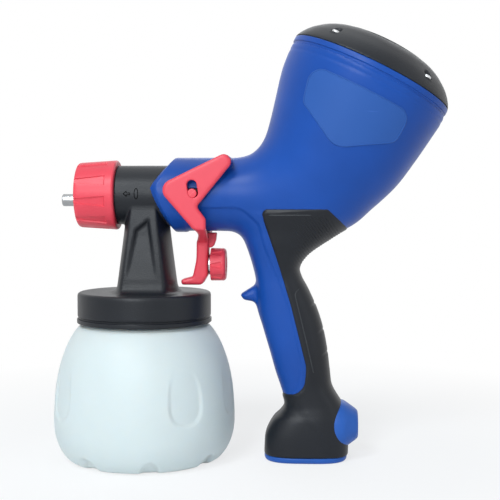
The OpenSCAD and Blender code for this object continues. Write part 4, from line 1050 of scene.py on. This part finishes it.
def knob_flutes(along, out, turn):
    wave = off_nearest(turn, knob_pitch)
    wide = 0.7 + 1.5 * np.clip(along / knob_flute_end, 0, 1)
    across = np.abs(out * np.sin(wave))
    floor = knob_floor / np.cos(wave)
    cut = ramp((wide - across) / 0.3 + 0.5) * ramp((knob_flute_end - along) / 0.4)
    return np.where((out > 9.6) & (floor < out) & (along > 0.2), out + (floor - out) * cut, out)


knob_rows = [(x, knob_r) for x in np.arange(1.2, 7.8, 0.3)]
knob_profile = rounded([(-6.6, 0.02), (-6.6, 2.5, 0.3), (0, 2.5), (0, knob_r, 0.5)] + knob_rows + [
    (knob_long, knob_r, 2.2), (knob_long, 5.6, 0.3), (9.8, 5, 0.3), (9.8, 0.02)])
knob = turned("flow_knob", knob_profile, (45, 0, knob_z), around=480, crease=32, bend=knob_flutes)
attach(knob, "knob")
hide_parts("flow_knob")
coat(knob, red)

# ---- Cross pin ----
# Red acetal pin through the cheeks' slots. The draw bar hangs on it and pulls the needle back.
pin_x, pin_half, pin_head, pin_head_r, pin_r = 35.3, 29.2, 26.8, 2.95, 1.9
pin_profile = rounded([(-pin_half, 0.02), (-pin_half, pin_head_r, 0.4), (-pin_head, pin_head_r),
                       (-pin_head, pin_r), (pin_head, pin_r), (pin_head, pin_head_r),
                       (pin_half, pin_head_r, 0.4), (pin_half, 0.02)])
pin = turned("cross_pin", pin_profile, (pin_x, 0, pin_z), way="y", around=64)
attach(pin, "draw_bar")
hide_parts("cross_pin")
coat(pin, red)

# ---- Return spring ----
# Coil of spring wire round the draw bar, seated on the guide plate. It shuts the needle when the
# trigger is let go.
wire, coils, draw = 0.55, 8, 3.9
low, high = (np.array(q) * 1000 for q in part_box("return_spring"))
middle = (low + high) / 2
share = np.linspace(0, 1, coils * 32 + 1)
turn = share * 2 * pi * coils
path = middle * (0, 1, 1) + (high[1] - middle[1] - wire) * np.stack(
    [0 * turn, np.cos(turn), np.sin(turn)], 1)
path[:, 0] = low[0] + wire + share * (high[0] - low[0] - 2 * wire)
spring = tube("return_spring_wire", [path], wire, lambda p: p * (1, 0, 0) + middle * (0, 1, 1),
              sides=12, closed=False, crease=40)
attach(spring, "housing")
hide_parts("return_spring")
steel = metal("bright_steel", (0.5, 0.51, 0.53), (0.74, 0.75, 0.77), (0.2, 0.38), 300, 0.05)
coat(spring, steel)
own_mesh(spring)

# ---- Pieces kept from the frame ----
# The other inner pieces keep the frame's own solids. They are moulded, cast, turned or drawn as
# the real ones are, and each gets the finish of its kind.
cast = metal("cast_alloy", (0.48, 0.5, 0.52), (0.66, 0.68, 0.7), (0.37, 0.55), 500, 0.2)
brass = metal("turned_brass", (0.55, 0.36, 0.12), (0.78, 0.56, 0.25), (0.22, 0.4), 300, 0.05)
copper = metal("wound_copper", (0.33, 0.12, 0.05), (0.58, 0.27, 0.13), (0.34, 0.52), 900, 0.3)
dark = moulded("dark_nylon", (0.022, 0.024, 0.028), rough=0.5, bump=0.15, cloud=0.08)
natural = moulded("natural_plastic", (0.66, 0.66, 0.62), rough=0.45, bump=0.06, cloud=0.03)
foam = moulded("filter_foam", (0.11, 0.12, 0.13), rough=0.9, grain=1500, bump=0.9, cloud=0.15,
               sheen=0.1)
rubber_mount = moulded("soft_rubber", (0.014, 0.015, 0.018), rough=0.7, grain=800, bump=0.15,
                       cloud=0.1, sheen=0.3)
film = moulded("capacitor_film", (0.52, 0.33, 0.09), rough=0.35, bump=0.04, cloud=0.04)
for finish, nodes in (
        (black, "nozzle_body air_insert"),
        (dark, "fan_housing diffuser power_switch cord_clamp guide_plate bayonet_ring brushes"),
        (rubber_mount, "motor_mount cup_gasket cap_seal"),
        (red, "switch_plunger"),
        (steel, "motor_shaft motor_can bearings knob_spring knob_collar trigger_pin needle"),
        (brass, "fan_nut pivot_bushings packing_nut"),
        (copper, "commutator armature"),
        (cast, "motor_core turbine_fan draw_bar"),
        (foam, "air_filter"),
        (natural, "terminal_block needle_packing pickup_tube vent_valve"),
        (film, "capacitor")):
    for node in nodes.split():
        solid = bpy.data.objects[node]
        if not solid.material_slots:
            coat(solid, finish)
        for slot in solid.material_slots:
            slot.material = finish

# ---- Sizes ----
# The dressed gun's box, in metres.
low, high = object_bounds()
